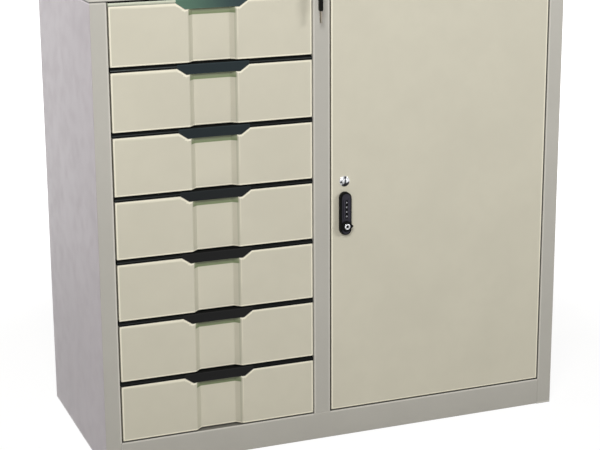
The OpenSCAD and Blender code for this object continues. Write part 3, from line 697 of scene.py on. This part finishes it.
def centre_post():
    """Front of the post, folded back on both sides, and the two webs behind it with their slots."""
    left, right, back = POST_LOW[0], POST_HIGH[0], POST_HIGH[1]
    bottom, top = POST_LOW[2], POST_HIGH[2]
    half = SHEET / 2
    section = folded_outline([
        (left + half, FLANGE), (left + half, half), (right - half, half), (right - half, FLANGE),
    ])
    section = split_at(section, 0, [left + RIM, right - RIM], closed=True)

    # Painted highlight and shade along the post's edges beside the gaps
    def rim(points):
        x, y, z = points.T
        sides = near_edge(np.minimum(x - left, right - x))
        return 0.8 * np.maximum(sides, near_edge(top - z + 0.5)) * (y < FOLD)

    levels = [bottom, bottom + 0.5, bottom + RIM, top - RIM, top - 0.5, top]
    post = Piece("centre_post").carried("up", section, levels, rim=rim)
    bar = box_of("lock_bar")[1][1]
    foot, head = 61, 81
    hook_slots = [
        rounded_box(bar - 3, cell(n) + foot, bar + 1, cell(n) + head, SLOT_CORNER, 2) for n in DRAWERS
    ]
    room, drop = 2, 37
    strikes = [
        rounded_box(low[1] - room, high[2] - drop, high[1] + room, high[2] + room, SLOT_CORNER, 2)
        for low, high in (box_of("cam_lock_tongue"), box_of("combination_tongue"))
    ]
    web = rounded_box(FLANGE, bottom, back, top, 0.01, 1)
    for x, slots in ((left, hook_slots), (right - SHEET, strikes)):
        post.solid("right", web, [(0, 0), (0, SHEET)], (x, 0, 0), holes=slots)
    post.place("carcass", "frame_paint", [FRAME], ["centre_partition"])


def top_cap():
    """Cap: rounded rings of its outline, hollowed from below and drilled for the gang lock."""
    corners = [CAP_LOW[:2], (CAP_HIGH[0], CAP_LOW[1]), CAP_HIGH[:2], (CAP_LOW[0], CAP_HIGH[1])]
    outline = inset_path(corners, FOLD, 4)
    height = CAP_HIGH[2] - CAP_LOW[2]
    low_fold = 0.8
    profile = [(low_fold - u, low_fold + v) for u, v in arc(0, 0, low_fold, -90, 0, 3)]
    profile += [(0, 1.3), (0, 2.4), (0, 7), (0, 13), (0, height - FOLD - RIM)]
    profile += rolled(height) + [(FOLD + RIM, height)]
    # Painted shade along the lower fold where the cap meets the stiles, and painted highlights above it
    # and along the rolled top edge
    rim = [1, 1, 1, 1, 0.95, 0.45, 0.3, 0, 0, 0.2, 0.4, 0.5, 0.5, 0.5, 0.4, 0.2, 0]
    cap = Piece("top_cap_shell").solid("up", outline, profile, (0, 0, CAP_LOW[2]), rim=rim)
    inner = rounded_box(SHEET, SHEET, CAP_HIGH[0] - SHEET, CAP_HIGH[1] - SHEET, FOLD - SHEET, 3)
    mouth = rounded_box(FLANGE, FLANGE, CAP_HIGH[0] - FLANGE, CAP_HIGH[1] - FLANGE, 1, 3)
    room = Piece("cap_room").solid("up", inner, [(0, SHEET), (0, height - SHEET)], (0, 0, CAP_LOW[2]))
    opening = Piece("cap_mouth").solid("up", mouth, [(0, -5), (0, 5)], (0, 0, CAP_LOW[2]))
    x, _, z = middle_of("gang_lock_housing")
    bore = drill("front", BARREL + PLAY, -6, 6, (x, 0, z))
    cap.place("carcass", "frame_paint", [FRAME], ["top_cap"], cut=[room, opening, bore])


# ---------- Drawers ----------

def cell(n):
    """Height of the bottom of a drawer's cell."""
    return box_of(f"drawer_{n}_front")[0][2] - 2


# Painted shade and light on a drawer front: how far below the pull its painted shadow band lies,
# and how far past the channel's mouth, at the right, the painted shade strip and the painted
# highlight on the lip lie
PULL_SHADOW = [3, 9.4, 10.4, 11.2]
SHADE_STRIP = [-4.2, -3.4, -1.4, -1.0]
LIP = [-0.4, 0.2, 1.6, 3.6]


def drawer_face(n):
    """Pressed front: the plan line with its channel, carried from the bottom fold up to a top line
    that drops round the finger pull. A point is the plan point moved inward by r (1 - sin a) and
    up by r (1 - cos a) on the bottom fold, and straight up above it."""
    low, high = box_of(f"drawer_{n}_front")
    width, _, height = high - low
    middle = width / 2
    depth = high[1]
    notch = height - PULL_DROP - GAP
    foot, head = PULL_LOW / 2 + GAP, PULL_TOP / 2 + GAP
    corners = [
        (0, depth), (0, 0), (middle - MOUTH, 0), (middle - FLOOR, CHANNEL_DEPTH),
        (middle + FLOOR, CHANNEL_DEPTH), (middle + MOUTH, 0), (width, 0), (width, depth),
    ]
    line = rounded_path(corners, [0, FOLD, CREASE, CREASE, CREASE, CREASE, FOLD, 0])
    wall = (MOUTH - FLOOR) * (PULL_THICK + GAP) / CHANNEL_DEPTH
    drop = np.linspace(foot, head, 6)
    past = MOUTH + np.array([-wall, SHADE_STRIP[0], SHADE_STRIP[1], LIP[3]])
    marks = [RIM, *(middle - drop), middle - MOUTH + wall, *(middle + past), *(middle + drop), width - RIM]
    line = split_at(line, 0, marks)
    keep = np.concatenate([[True], np.linalg.norm(np.diff(line, axis=0), axis=1) > 1e-4])
    line = line[keep]
    bend = 1.6
    a = np.radians(np.linspace(0, 90, 5))[:, None, None]
    inward = bend * (beside(line, 1.0) - line)
    under = line * [1, 0] + [0, depth] + inward * [1, 0]
    upright = [2.2, RIM, notch * 0.5, *(notch - np.array([PULL_SHADOW[3], PULL_SHADOW[2], 8.2, RIM, 0]))]
    plan = np.concatenate([[under], line + inward * (1 - np.sin(a)), [line] * len(upright)])
    levels = np.concatenate([[0], bend * (1 - np.cos(a.ravel())), upright])
    z = np.broadcast_to(levels[:, None, None], (*plan.shape[:2], 1))
    points = np.concatenate([plan, z], -1).reshape(-1, 3)
    faces = [grid_faces(*plan.shape[:2])]
    # above the notch's floor: left of the pull, inside the channel, right of it
    x = line[:, 0]
    slope = np.interp(np.abs(x - middle), [foot, head], [notch, height])
    behind = line[:, 1] > PULL_THICK + GAP - 1e-3
    parts = [
        (x <= middle - foot + 1e-3, slope),
        (behind & (np.abs(x - middle) < foot), np.full(len(line), height)),
        (x >= middle + foot - 1e-3, slope),
    ]
    steps = np.array([0, 0.35, 0.7, 0.85, 1.0])
    for inside, top in parts:
        at = np.flatnonzero(inside)
        z = notch + steps[:, None] * (top[at] - notch)[None, :]
        block = np.stack([*(np.broadcast_to(plan, z.shape) for plan in line[at].T), z], -1)
        faces.append(grid_faces(len(steps), len(at)) + len(points))
        points = np.concatenate([points, block.reshape(-1, 3)])

    def rim(points):
        x, y, z = points.T
        off = np.abs(x - middle)
        run, rise = head - foot, height - notch
        from_slope = ((off - foot) * rise - (z - notch) * run) / math.hypot(run, rise)
        top = np.where(off > head, height - z, np.where(off > foot, from_slope, notch - z))
        top = np.where(y > PULL_THICK, height, np.abs(top))
        sides = np.minimum(x, width - x)
        # Painted highlight beside the edges and painted shade at their turn
        edge = np.maximum(near_edge(np.minimum(top, z)), near_edge(sides)) * (y < CHANNEL_DEPTH + 1)
        past = off - MOUTH
        right = x > middle
        # Painted shadow of the pull on the channel floor
        pull_shadow = np.interp(notch - z, PULL_SHADOW, [0.76, 1, 1, 0]) * (y > PULL_THICK) * (off < head)
        # Painted shade on the channel walls, more on the left
        wall_shade = np.interp(off, [FLOOR, FLOOR + 2], [0, 1]) * np.where(right, 0.035, 0.16)
        # Painted shade in a strip just past the channel's right mouth
        shade_strip = np.interp(past, SHADE_STRIP, [0.035, 0.28, 0.28, 0]) * right * (past > SHADE_STRIP[0] - 0.1)
        painted_shade = np.maximum(pull_shadow, np.maximum(wall_shade * (past < -1), shade_strip)) * (y < CHANNEL_DEPTH + 0.5)
        # Painted highlight on the right lip of the channel
        lip = np.interp(past, LIP, [0, 0.16, 0.16, 0]) * right * (z > RIM) * (z < notch - 1)
        edge = np.maximum(edge, lip)
        return np.where(y > 0.6, edge - painted_shade, edge)

    face = Piece(f"drawer_{n}_face")
    face.add(points + [low[0], 0, low[2]], faces, rim=rim(points))
    face.place(f"drawer_{n}", "cream_paint", [CREAM], [f"drawer_{n}_front"], wall=SHEET, merge=True)


def drawer_pull(n):
    """Strip with a painted highlight along its ridge, its section carried along the drawer, and the flat
    finger pull.
    """
    low, high = box_of(f"drawer_{n}_handle")
    strip = high[2] - STRIP
    middle = (low[0] + high[0]) / 2
    depth = high[1]
    far, half = PULL_TOP / 2, PULL_LOW / 2
    section = np.array([
        (1.2, 0), (depth, 0), (depth, STRIP), (2.8, STRIP), (2.0, STRIP - 0.3), (1.2, STRIP - 1.7),
        (0.8, STRIP - 2.4), (0.25, STRIP - 3.0), (0.25, STRIP - 4.3), (0.8, STRIP - 4.8), (1.0, 0.8),
    ])
    # Painted highlight along the strip's ridge
    ridge = np.array([0, 0, 0, 0, 0, 0, 0.05, 1, 1, 0.05, 0]) * np.interp(n, [2, 3, 7], [1, 0.5, 0.2])
    # On the top drawer the rim darkens the pale strip's bottom edge: a painted shade line
    if n == 1:
        ridge = np.array([1, 0, 0, 0, 0, 0, 0, 0, 0, 0.3, 1])
    ends = [low[0], low[0] + 0.4, low[0] + 90, middle, high[0] - 90, high[0] - 0.4, high[0]]
    ridge_light = np.outer([1, 1, 0.8, 0.5, 0.4, 0.5, 0.4], ridge)
    pull = Piece(f"drawer_{n}_pull")

    def front_finish(centres):
        return 1 + (centres[:, 2] > high[2] - 1.2)

    pull.carried("right", section, ends, (0, 0, strip), rim=ridge_light, mark=front_finish)
    plate_top = STRIP - 0.9
    plate = inset_path([
        (middle + far, plate_top), (middle - far, plate_top), (middle - far, 0),
        (middle - half, -PULL_DROP), (middle + half, -PULL_DROP), (middle + far, 0),
    ], [0.7, 0.7, 2, 1.2, 1.2, 2], 4)
    profile = [(0.5, -PULL_THICK), (0, -PULL_THICK + 0.5), (0, -0.8), (0.25, -0.3), (0.8, 0), (1.8, 0)]
    # Painted highlight on the plate's bevel
    pull.solid("front", plate, profile, (0, 0, strip), rim=[0.2, 0.2, 0.3, 0.9, 0.5, 0])
    # The top drawer takes the copies with painted glare
    plastics = [TEAL_GLARE, STRIP_GLARE] if n == 1 else [SLATE, STRIP_BLACK]
    pull.place(f"drawer_{n}", "slate_plastic", plastics + [STRIP_BLACK], [f"drawer_{n}_handle"])


# ---------- Door and its locks ----------

def door_face():
    """Door pan: rings of its outline with rolled edges, cut out for the locks."""
    width, _, height = DOOR_HIGH - DOOR_LOW
    outline = inset_path([(0, 0), (width, 0), (width, height), (0, height)], 0.8, 3)
    profile = [(0, -DOOR_HIGH[1]), (0, -FOLD - RIM), *rolled(0), (RIM, 0), (RIM + 0.5, 0)]
    # Painted shade on the door's side returns in the gap, and a painted highlight along the rolled edges
    rim = [1, *near_edge([inset for inset, _ in profile[1:-2]]), 0, 0]
    door = Piece("door_face").solid("front", outline, profile, (DOOR_LOW[0], 0, DOOR_LOW[2]), rim=rim)
    back, front = -30, 5
    cuts = [drill("front", BARREL + PLAY, back, front, (LOCK_X, 0, z)) for z in (LOCK_Z, KNOB_Z)]
    side, end = 7.5, 4.3
    window = rounded_box(LOCK_X - side, WHEEL_FOOT - end, LOCK_X + side, WHEEL_TOP + end, 0.5, 2)
    cuts.append(Piece("window").solid("front", window, [(0, back), (0, front)]))
    pin_x, pin_y, _ = middle_of("hinge_pins")
    pin_hole, reach = 2.56, 16
    for z in (DOOR_LOW[2], DOOR_HIGH[2]):
        cuts.append(drill("up", pin_hole, -reach, reach, (pin_x, pin_y, z)))
    door.place("door", "cream_paint", [CREAM], ["door_skin"], cut=cuts)


def tarnish(x, z, reach, turns, depths, edge=1000):
    """Painted dark reflections and shade on a turned face, as a function of its points: it follows the
    angle round the middle, in degrees anticlockwise from the right, fades at the ends of its reach,
    and is full outside the edge radius."""

    def at(points):
        off_x, off_z = points[:, 0] - x, points[:, 2] - z
        angle = np.degrees(np.arctan2(off_z, off_x)) % 360
        radius = np.hypot(off_x, off_z)
        patches = np.interp(angle, turns, depths) * np.interp(radius, reach, [0, 1, 1, 0])
        return np.where(radius > edge, 1, patches)

    return at


def lock_bezel(name, node, body, bore):
    """Turned bezel with a rolled lip and a dished land, and its barrel behind the sheet."""
    low, high = box_of(node)
    x, _, z = middle_of(node)
    outer = (high[0] - low[0]) / 2
    back, front = -high[1], -low[1]
    profile = [
        (bore, back), (BARREL, back), (BARREL, 0), (outer, 0), (outer, 0.35), (outer - 0.25, 0.9),
        (outer - 0.9, front - 0.35), (outer - 1.7, front - 0.05), (outer - 2.5, front),
        (outer - 3.0, front - 0.35), (bore + 0.5, front - 0.55), (bore + 0.15, front - 0.35),
        (bore, front - 0.6),
    ]
    # Painted dark reflections and shade round the bezel
    dark = tarnish(
        x, z, [bore - 0.6, bore - 0.1, outer - 0.95, outer - 0.2],
        [0, 55, 68, 80, 98, 110, 165, 178, 192, 206, 220, 235, 335, 350, 360],
        [0.3, 0.1, 0.9, 1, 0.7, 0.05, 0.05, 1, 1, 0.3, 0.5, 1, 1, 0.8, 0.3],
    )
    Piece(name).turned("front", profile, (x, 0, z), 64, rim=dark, ring=True).place(
        body, "chrome_plate", [CHROME], [node])


def lock_core(name, node, body):
    """Plug: a turned face with a rounded rim and a keyway cut through it."""
    low, high = box_of(node)
    x, _, z = middle_of(node)
    radius = (high[0] - low[0]) / 2
    front = -low[1]
    across, along = 1.05, 3.85
    keyway = rounded_box(x - across, z - along, x + across, z + along, 0.5, 3)
    profile = [(0, -high[1]), (0, front - 0.7), (0.2, front - 0.25), (0.7, front), (1.4, front)]
    # Painted dark reflections and shade on the plug's face
    dark = tarnish(
        x, z, [radius - 2.9, radius - 1.9, radius, radius + 1],
        [0, 50, 75, 100, 170, 190, 215, 235, 325, 345, 360],
        [0.1, 0.1, 0.8, 0.1, 0.2, 0.6, 0.2, 1, 1, 0.4, 0.1],
    )
    core = Piece(name)
    core.solid("front", circle(x, z, radius), profile, holes=[keyway], rim=dark, hole_mark=1)
    core.place(body, "chrome_plate", [CHROME, DARK], [node])


def combination_case():
    """Case: a bar with round ends, rings with a soft shoulder and a rim, cut for wheels and knob."""
    half = (CASE_HIGH - CASE_LOW)[0] / 2
    outline = np.concatenate([
        arc(LOCK_X, CASE_HIGH[2] - half, half, 0, 180, 24),
        arc(LOCK_X, CASE_LOW[2] + half, half, 180, 360, 24),
    ])
    back, front = -CASE_HIGH[1], -CASE_LOW[1]
    profile = [
        (0, 0), (0, front - 3.2), (0.35, front - 1.6), (1.0, front - 0.5), (1.7, front),
        (2.3, front), (2.7, front - 0.5), (3.4, front - 0.55),
    ]
    rim = [0.1, 0.1, 0.25, 0.45, 0.8, 0.5, 0.1, 0]

    def sunk_face(centres):
        return 2 * (np.abs(centres[:, 1] + front - 0.53) < 0.06)

    case = Piece("combination_case").solid("front", outline, profile, rim=rim, mark=sunk_face)
    barrel = [(KNOB_BORE, back), (BARREL, back), (BARREL, 0), (KNOB_BORE, 0)]
    behind = Piece("combination_barrel").turned("front", barrel, (LOCK_X, 0, KNOB_Z), ring=True)
    behind.place("door", "zinc_plate", [ZINC])
    # The walls cut for the wheels and the knob take the near-black painted shade
    cuts = [
        drill("up", WHEEL_ROOM, -WHEEL_REACH, WHEEL_REACH, (LOCK_X, WHEEL_Y, z), mark=1)
        for z in WHEELS[:, 2]
    ]
    cuts.append(drill("front", KNOB_BORE, -40, 20, (LOCK_X, 0, KNOB_Z), mark=1))
    case.place("door", "black_plastic", [BLACK, DARK, CASE_FACE], ["combination_lock_case"], cut=cuts)
    inner, outer, end = 2.5, 5.4, 4.9
    bevel = [(0, front - 0.8), (0, front + 0.7), (0.25, front + 0.98), (0.5, front + 1.05)]
    for name, near, far in (("left_wheel_guard", -outer, -inner), ("right_wheel_guard", inner, outer)):
        guard = rounded_box(LOCK_X + near, WHEEL_FOOT - end, LOCK_X + far, WHEEL_TOP + end, 0.6, 3)
        room = drill("up", WHEEL_ROOM, WHEEL_FOOT - 6, WHEEL_TOP + 6, (LOCK_X, WHEEL_Y, 0))
        Piece(name).solid("front", guard, bevel, rim=[0, 0, 0.5, 0.2]).place(
            "door", "black_plastic", [CASE_FACE], cut=[room])
    axle = [(1.2, WHEEL_FOOT - 5), (1.2, WHEEL_TOP + 5)]
    Piece("wheel_axle").turned("up", axle, (LOCK_X, WHEEL_Y, 0), 24).place("door", "zinc_plate", [ZINC])


def digit(number):
    """A digit as a thin closed solid: points (u, v, w) about its middle, and faces."""
    text = bpy.data.curves.new("digit", "FONT")
    text.body = str(number)
    text.size = 4.2
    text.extrude = 0.15
    text.offset = 0.12
    text.align_x = "CENTER"
    text.align_y = "CENTER"
    text.resolution_u = 3
    holder = link("digit", text)
    depsgraph = bpy.context.evaluated_depsgraph_get()
    mesh = bpy.data.meshes.new_from_object(holder.evaluated_get(depsgraph))
    mesh.calc_loop_triangles()
    points = np.array([list(vertex.co) for vertex in mesh.vertices])
    faces = np.array([list(triangle.vertices) for triangle in mesh.loop_triangles])
    bpy.data.objects.remove(holder)
    bpy.data.curves.remove(text)
    bpy.data.meshes.remove(mesh)
    return points, faces


def number_wheel(k):
    """Wheel: a ring section carried round its axle, with a flute between each two digits that is
    0.5 max(0, cos 10 a) squared deep. The digits are wrapped on the wheel."""
    node = f"number_wheel_{k}"
    low, high = box_of(node)
    radius = (high[0] - low[0]) / 2 - 0.04
    z0, z1 = low[2], high[2]
    profile = [
        (1.25, z0), (radius - 0.5, z0), (radius, z0 + 0.5), (radius, z0 + 1.3), (radius, z1 - 1.3),
        (radius, z1 - 0.5), (radius - 0.5, z1), (1.25, z1),
    ]

    def flute(a):
        return 0.5 * np.maximum(0, np.cos(10 * a)) ** 2

    wheel = Piece(f"wheel_{k}")
    wheel.turned("up", profile, (LOCK_X, WHEEL_Y, 0), 120, ring=True, flutes=(2, flute))
    for number in range(10):
        flat, triangles = DIGITS[number]
        turn = flat[:, 0] / radius + math.radians(36 * number)
        out = radius - 0.12 + flat[:, 2]
        shown = np.column_stack([out * np.sin(turn), -out * np.cos(turn), flat[:, 1] + (z0 + z1) / 2])
        wheel.add(shown + [LOCK_X, WHEEL_Y, 0], triangles, mark=1)
    wheel.place(node, "black_plastic", [BLACK, INK], [node], merge=True)


def knob():
    """Knob: a turned ring with grip flutes on its rim, 0.125 (1 - cos 24 a) deep, and a pointer
    plate beside it."""
    front = -box_of("combination_knob")[0][1]
    bore, back, shaft = 3.45, -22.5, 5
    below = front - 3.5
    profile = [
        (bore, back), (shaft, back), (shaft, below), (9.6, below), (10, below + 0.4), (10, front - 0.9),
        (9.3, front - 0.15), (8.6, front), (7.0, front - 0.25), (3.9, front - 0.25), (bore, front - 0.5),
    ]

    def grip(a):
        return 0.25 * (0.5 - 0.5 * np.cos(24 * a))

    piece = Piece("knob")
    piece.turned("front", profile, (LOCK_X, 0, KNOB_Z), 96, ring=True, flutes=(9, grip))
    pointer = rounded_path([(9.0, -3.4), (12.75, 0), (9.0, 3.4)], [0.5, 0.5, 0.5], 3, closed=True)
    bevel = [(0, front - 3.0), (0, front - 0.5), (0.35, front - 0.1)]
    piece.solid("front", pointer, bevel, (LOCK_X, 0, KNOB_Z), rim=[0, 0.3, 0.6])
    piece.place("combination_knob", "black_plastic", [BLACK], ["combination_knob"])


def override():
    """Override plug: a chromed turned head with a dished ring and a dark key hole."""
    low, high = box_of("override_plug")
    back, front = -high[1], -low[1]
    profile = [
        (2.4, back), (3.4, back), (3.4, front - 1.5), (5.95, front - 1.5), (5.95, front - 1.1),
        (5.5, front - 0.35), (4.9, front), (3.6, front - 0.05), (2.7, front - 0.35), (2.4, front - 0.9),
    ]
    # Painted dark reflections and shade on the override's head
    dark = tarnish(
        LOCK_X, KNOB_Z, [2.3, 2.6, 6, 7], [0, 50, 70, 120, 190, 215, 250, 280, 300, 360],
        [0.5, 0.15, 0.5, 0.1, 0.2, 0.65, 0.25, 0.1, 0.5, 0.5], edge=5.3,
    )
    ring = Piece("override_core").turned("front", profile, (LOCK_X, 0, KNOB_Z), 64, rim=dark, ring=True)
    pit = [(2.42, back + 0.3), (2.42, front - 1.9)]
    ring.turned("front", pit, (LOCK_X, 0, KNOB_Z), 32, mark=1)
    ring.place("override_plug", "chrome_plate", [CHROME, DARK], ["override_plug"])


# ---------- Keys ----------

def key_bow(name, node, body, hole_z, corner):
    """Moulded bow: a rounded plate with soft edges and a hole for the ring."""
    low, high = box_of(node)
    half = (high[0] - low[0]) / 2
    outline = rounded_box(low[1], low[2], high[1], high[2], corner, 8)
    profile = [
        (1.4, -half), (0.5, -half + 0.35), (0, -half + 1.3), (0, half - 1.3), (0.5, half - 0.35),
        (1.4, half), (1.8, half),
    ]
    rim = [0.5, 0.4, 0.2, 0.2, 0.4, 0.5, 0.1]
    hole = circle(KEY_HOLE_Y, hole_z, KEY_HOLE, 24)
    bow = Piece(name).solid("right", outline, profile, (low[0] + half, 0, 0), holes=[hole], rim=rim)
    bow.place(body, "black_plastic", [BLACK], [node])


def key_blade(name, node, body, hanging=False):
    """Blade: a flat bar with a saw line of notches along one edge, and bevelled faces."""
    low, high = box_of(node)
    half = (high[0] - low[0]) / 2
    _, width, length = high - low
    if not hanging:
        width, length = length, width
    depths = [1.6, 0.7, 2.1, 1.2, 0.5, 1.8]
    edge = [(0.0, 2.2), (1.2, width - 1.0)]
    for along, depth in zip(np.linspace(2.6, length - 9.5, len(depths)), depths):
        edge += [(along - 0.9, width), (along, width - depth), (along + 0.7, width - depth)]
    edge += [(length - 7.5, width), (length, width), (length, 0), (1.0, 0)]
    along, across = np.array(edge).T
    outline = [low[1] + across, low[2] + along] if hanging else [high[1] - along, low[2] + across]
    profile = [(0.12, -half), (0, -half + 0.2), (0, half - 0.2), (0.12, half)]
    blade = Piece(name).solid("right", np.column_stack(outline), profile, (low[0] + half, 0, 0))
    blade.place(body, "nickel", [NICKEL], [node])


def split_ring():
    """Split ring: a round wire carried along two turns of a circle, one turn behind the other, at
    y = 0.4 cos(t / 4) for the angle t that it has run."""
    low, high = box_of("key_ring")
    wire, steps = 0.38, 10
    radius = (high[0] - low[0]) / 2 - 0.8
    turns = np.linspace(0, 4 * math.pi, 121)
    a = np.radians(np.arange(steps) * 360 / steps)
    out = radius + wire * np.cos(a)
    points = np.stack([
        out * np.cos(turns)[:, None], wire * np.sin(a) + 0.4 * np.cos(turns / 4)[:, None],
        out * np.sin(turns)[:, None],
    ], -1)
    start = np.arange(steps)[None]
    end = start + (len(turns) - 1) * steps
    faces = [grid_faces(len(turns), steps, round_columns=True), start[:, ::-1], end]
    ring = Piece("split_ring").add(points.reshape(-1, 3) + middle_of("key_ring"), faces)
    ring.place("key_ring", "nickel", [NICKEL], ["key_ring"])


DIGITS = [digit(number) for number in range(10)]
side_panel("left_side_panel", False)
side_panel("right_side_panel", True)
base_rail()
centre_post()
top_cap()
for n in DRAWERS:
    drawer_face(n)
    drawer_pull(n)
door_face()
lock_bezel("cam_lock_bezel", "cam_lock_housing", "door", bore=5.55)
lock_core("cam_lock_core", "cam_lock_plug", "cam_lock")
lock_bezel("gang_lock_bezel", "gang_lock_housing", "carcass", bore=6.05)
lock_core("gang_lock_core", "gang_lock_plug", "gang_plug")
combination_case()
for k in range(1, 5):
    number_wheel(k)
knob()
override()
key_bow("gang_bow", "gang_key_bow", "gang_plug", middle_of("gang_key_bow")[2], corner=5)
hole_z = box_of("spare_key_bow")[1][2] - 4.6
key_bow("spare_bow", "spare_key_bow", "spare_key", hole_z, corner=4)
key_blade("gang_blade", "gang_key", "gang_plug")
key_blade("spare_blade", "spare_key", "spare_key", hanging=True)
split_ring()


# ---------- Camera, light and floor ----------

def softbox(name, place, target, size, power):
    """A square area lamp at a place, turned to a target."""
    data = bpy.data.lights.new(name, "AREA")
    data.shape = "SQUARE"
    data.size = size
    data.energy = power
    lamp = link(name, data, place)
    lamp.visible_camera = False
    lamp.rotation_euler = (Vector(target) - Vector(place)).to_track_quat("-Z", "Y").to_euler()


camera = link("camera", bpy.data.cameras.new("camera"), (-1.0610, -2.7305, 1.1649))
camera.rotation_euler = [math.radians(a) for a in (75.898, 0.328, -21.308)]
camera.data.lens = 93.94
camera.data.shift_y = -0.0583
bpy.context.scene.camera = camera

softbox("lamp_left", (-0.95, -2.0, 1.75), (-0.05, -0.2, 0.55), 0.7, 31.5)
softbox("lamp_right", (1.9, -2.0, 1.35), (0.15, -0.2, 0.15), 0.7, 24.5)
softbox("lamp_side", (-1.6, 0.6, 1.75), (-0.45, 0.0, 0.6), 0.8, 11.5)

# The room's light is faint, and its walls show white
WHITE = (1, 1, 1, 1)
world = bpy.data.worlds.new("studio")
bpy.context.scene.world = world
sky = Nodes(world)
plain, white = (
    sky.node("Background", {}, {"Color": WHITE, "Strength": strength}) for strength in (0.12, 1.0)
)
both = sky.node("MixShader", {}, {0: sky.shown(), 1: plain.outputs[0], 2: white.outputs[0]})
sky.node("OutputWorld", {}, {"Surface": both.outputs[0]})

# The floor is pale paper, which turns white away from the cabinet and keeps its shadow
paper = Finish("floor_paper", Roughness=0.9)
paper.vary(Base_Color=paper.mix(paper.noise(1.5), (0.37, 0.36, 0.34, 1), (0.40, 0.39, 0.37, 1)))
glow = paper.node("Emission", {}, {"Color": WHITE, "Strength": 1.5})
distance = paper.node("VectorMath", {"operation": "LENGTH"}, {0: paper.where}).outputs["Value"]
share = paper.shown() * (0.6 + 0.4 * Value(paper, distance).above(0.7, 2.0))
blend = paper.node("MixShader", {}, {0: share, 1: paper.shader.outputs[0], 2: glow.outputs[0]})
paper.tree.links.new(blend.outputs[0], paper.output.inputs["Surface"])
floor_mesh = bpy.data.meshes.new("floor")
reach = 30.0
corners = [(-reach, -reach, 0), (reach, -reach, 0), (reach, reach, 0), (-reach, reach, 0)]
floor_mesh.from_pydata(corners, [], [(0, 1, 2, 3)])
floor_mesh.materials.append(paper.material)
floor = link("floor", floor_mesh, (0, 0, -0.0005))

bpy.context.scene.view_settings.view_transform = "Standard"
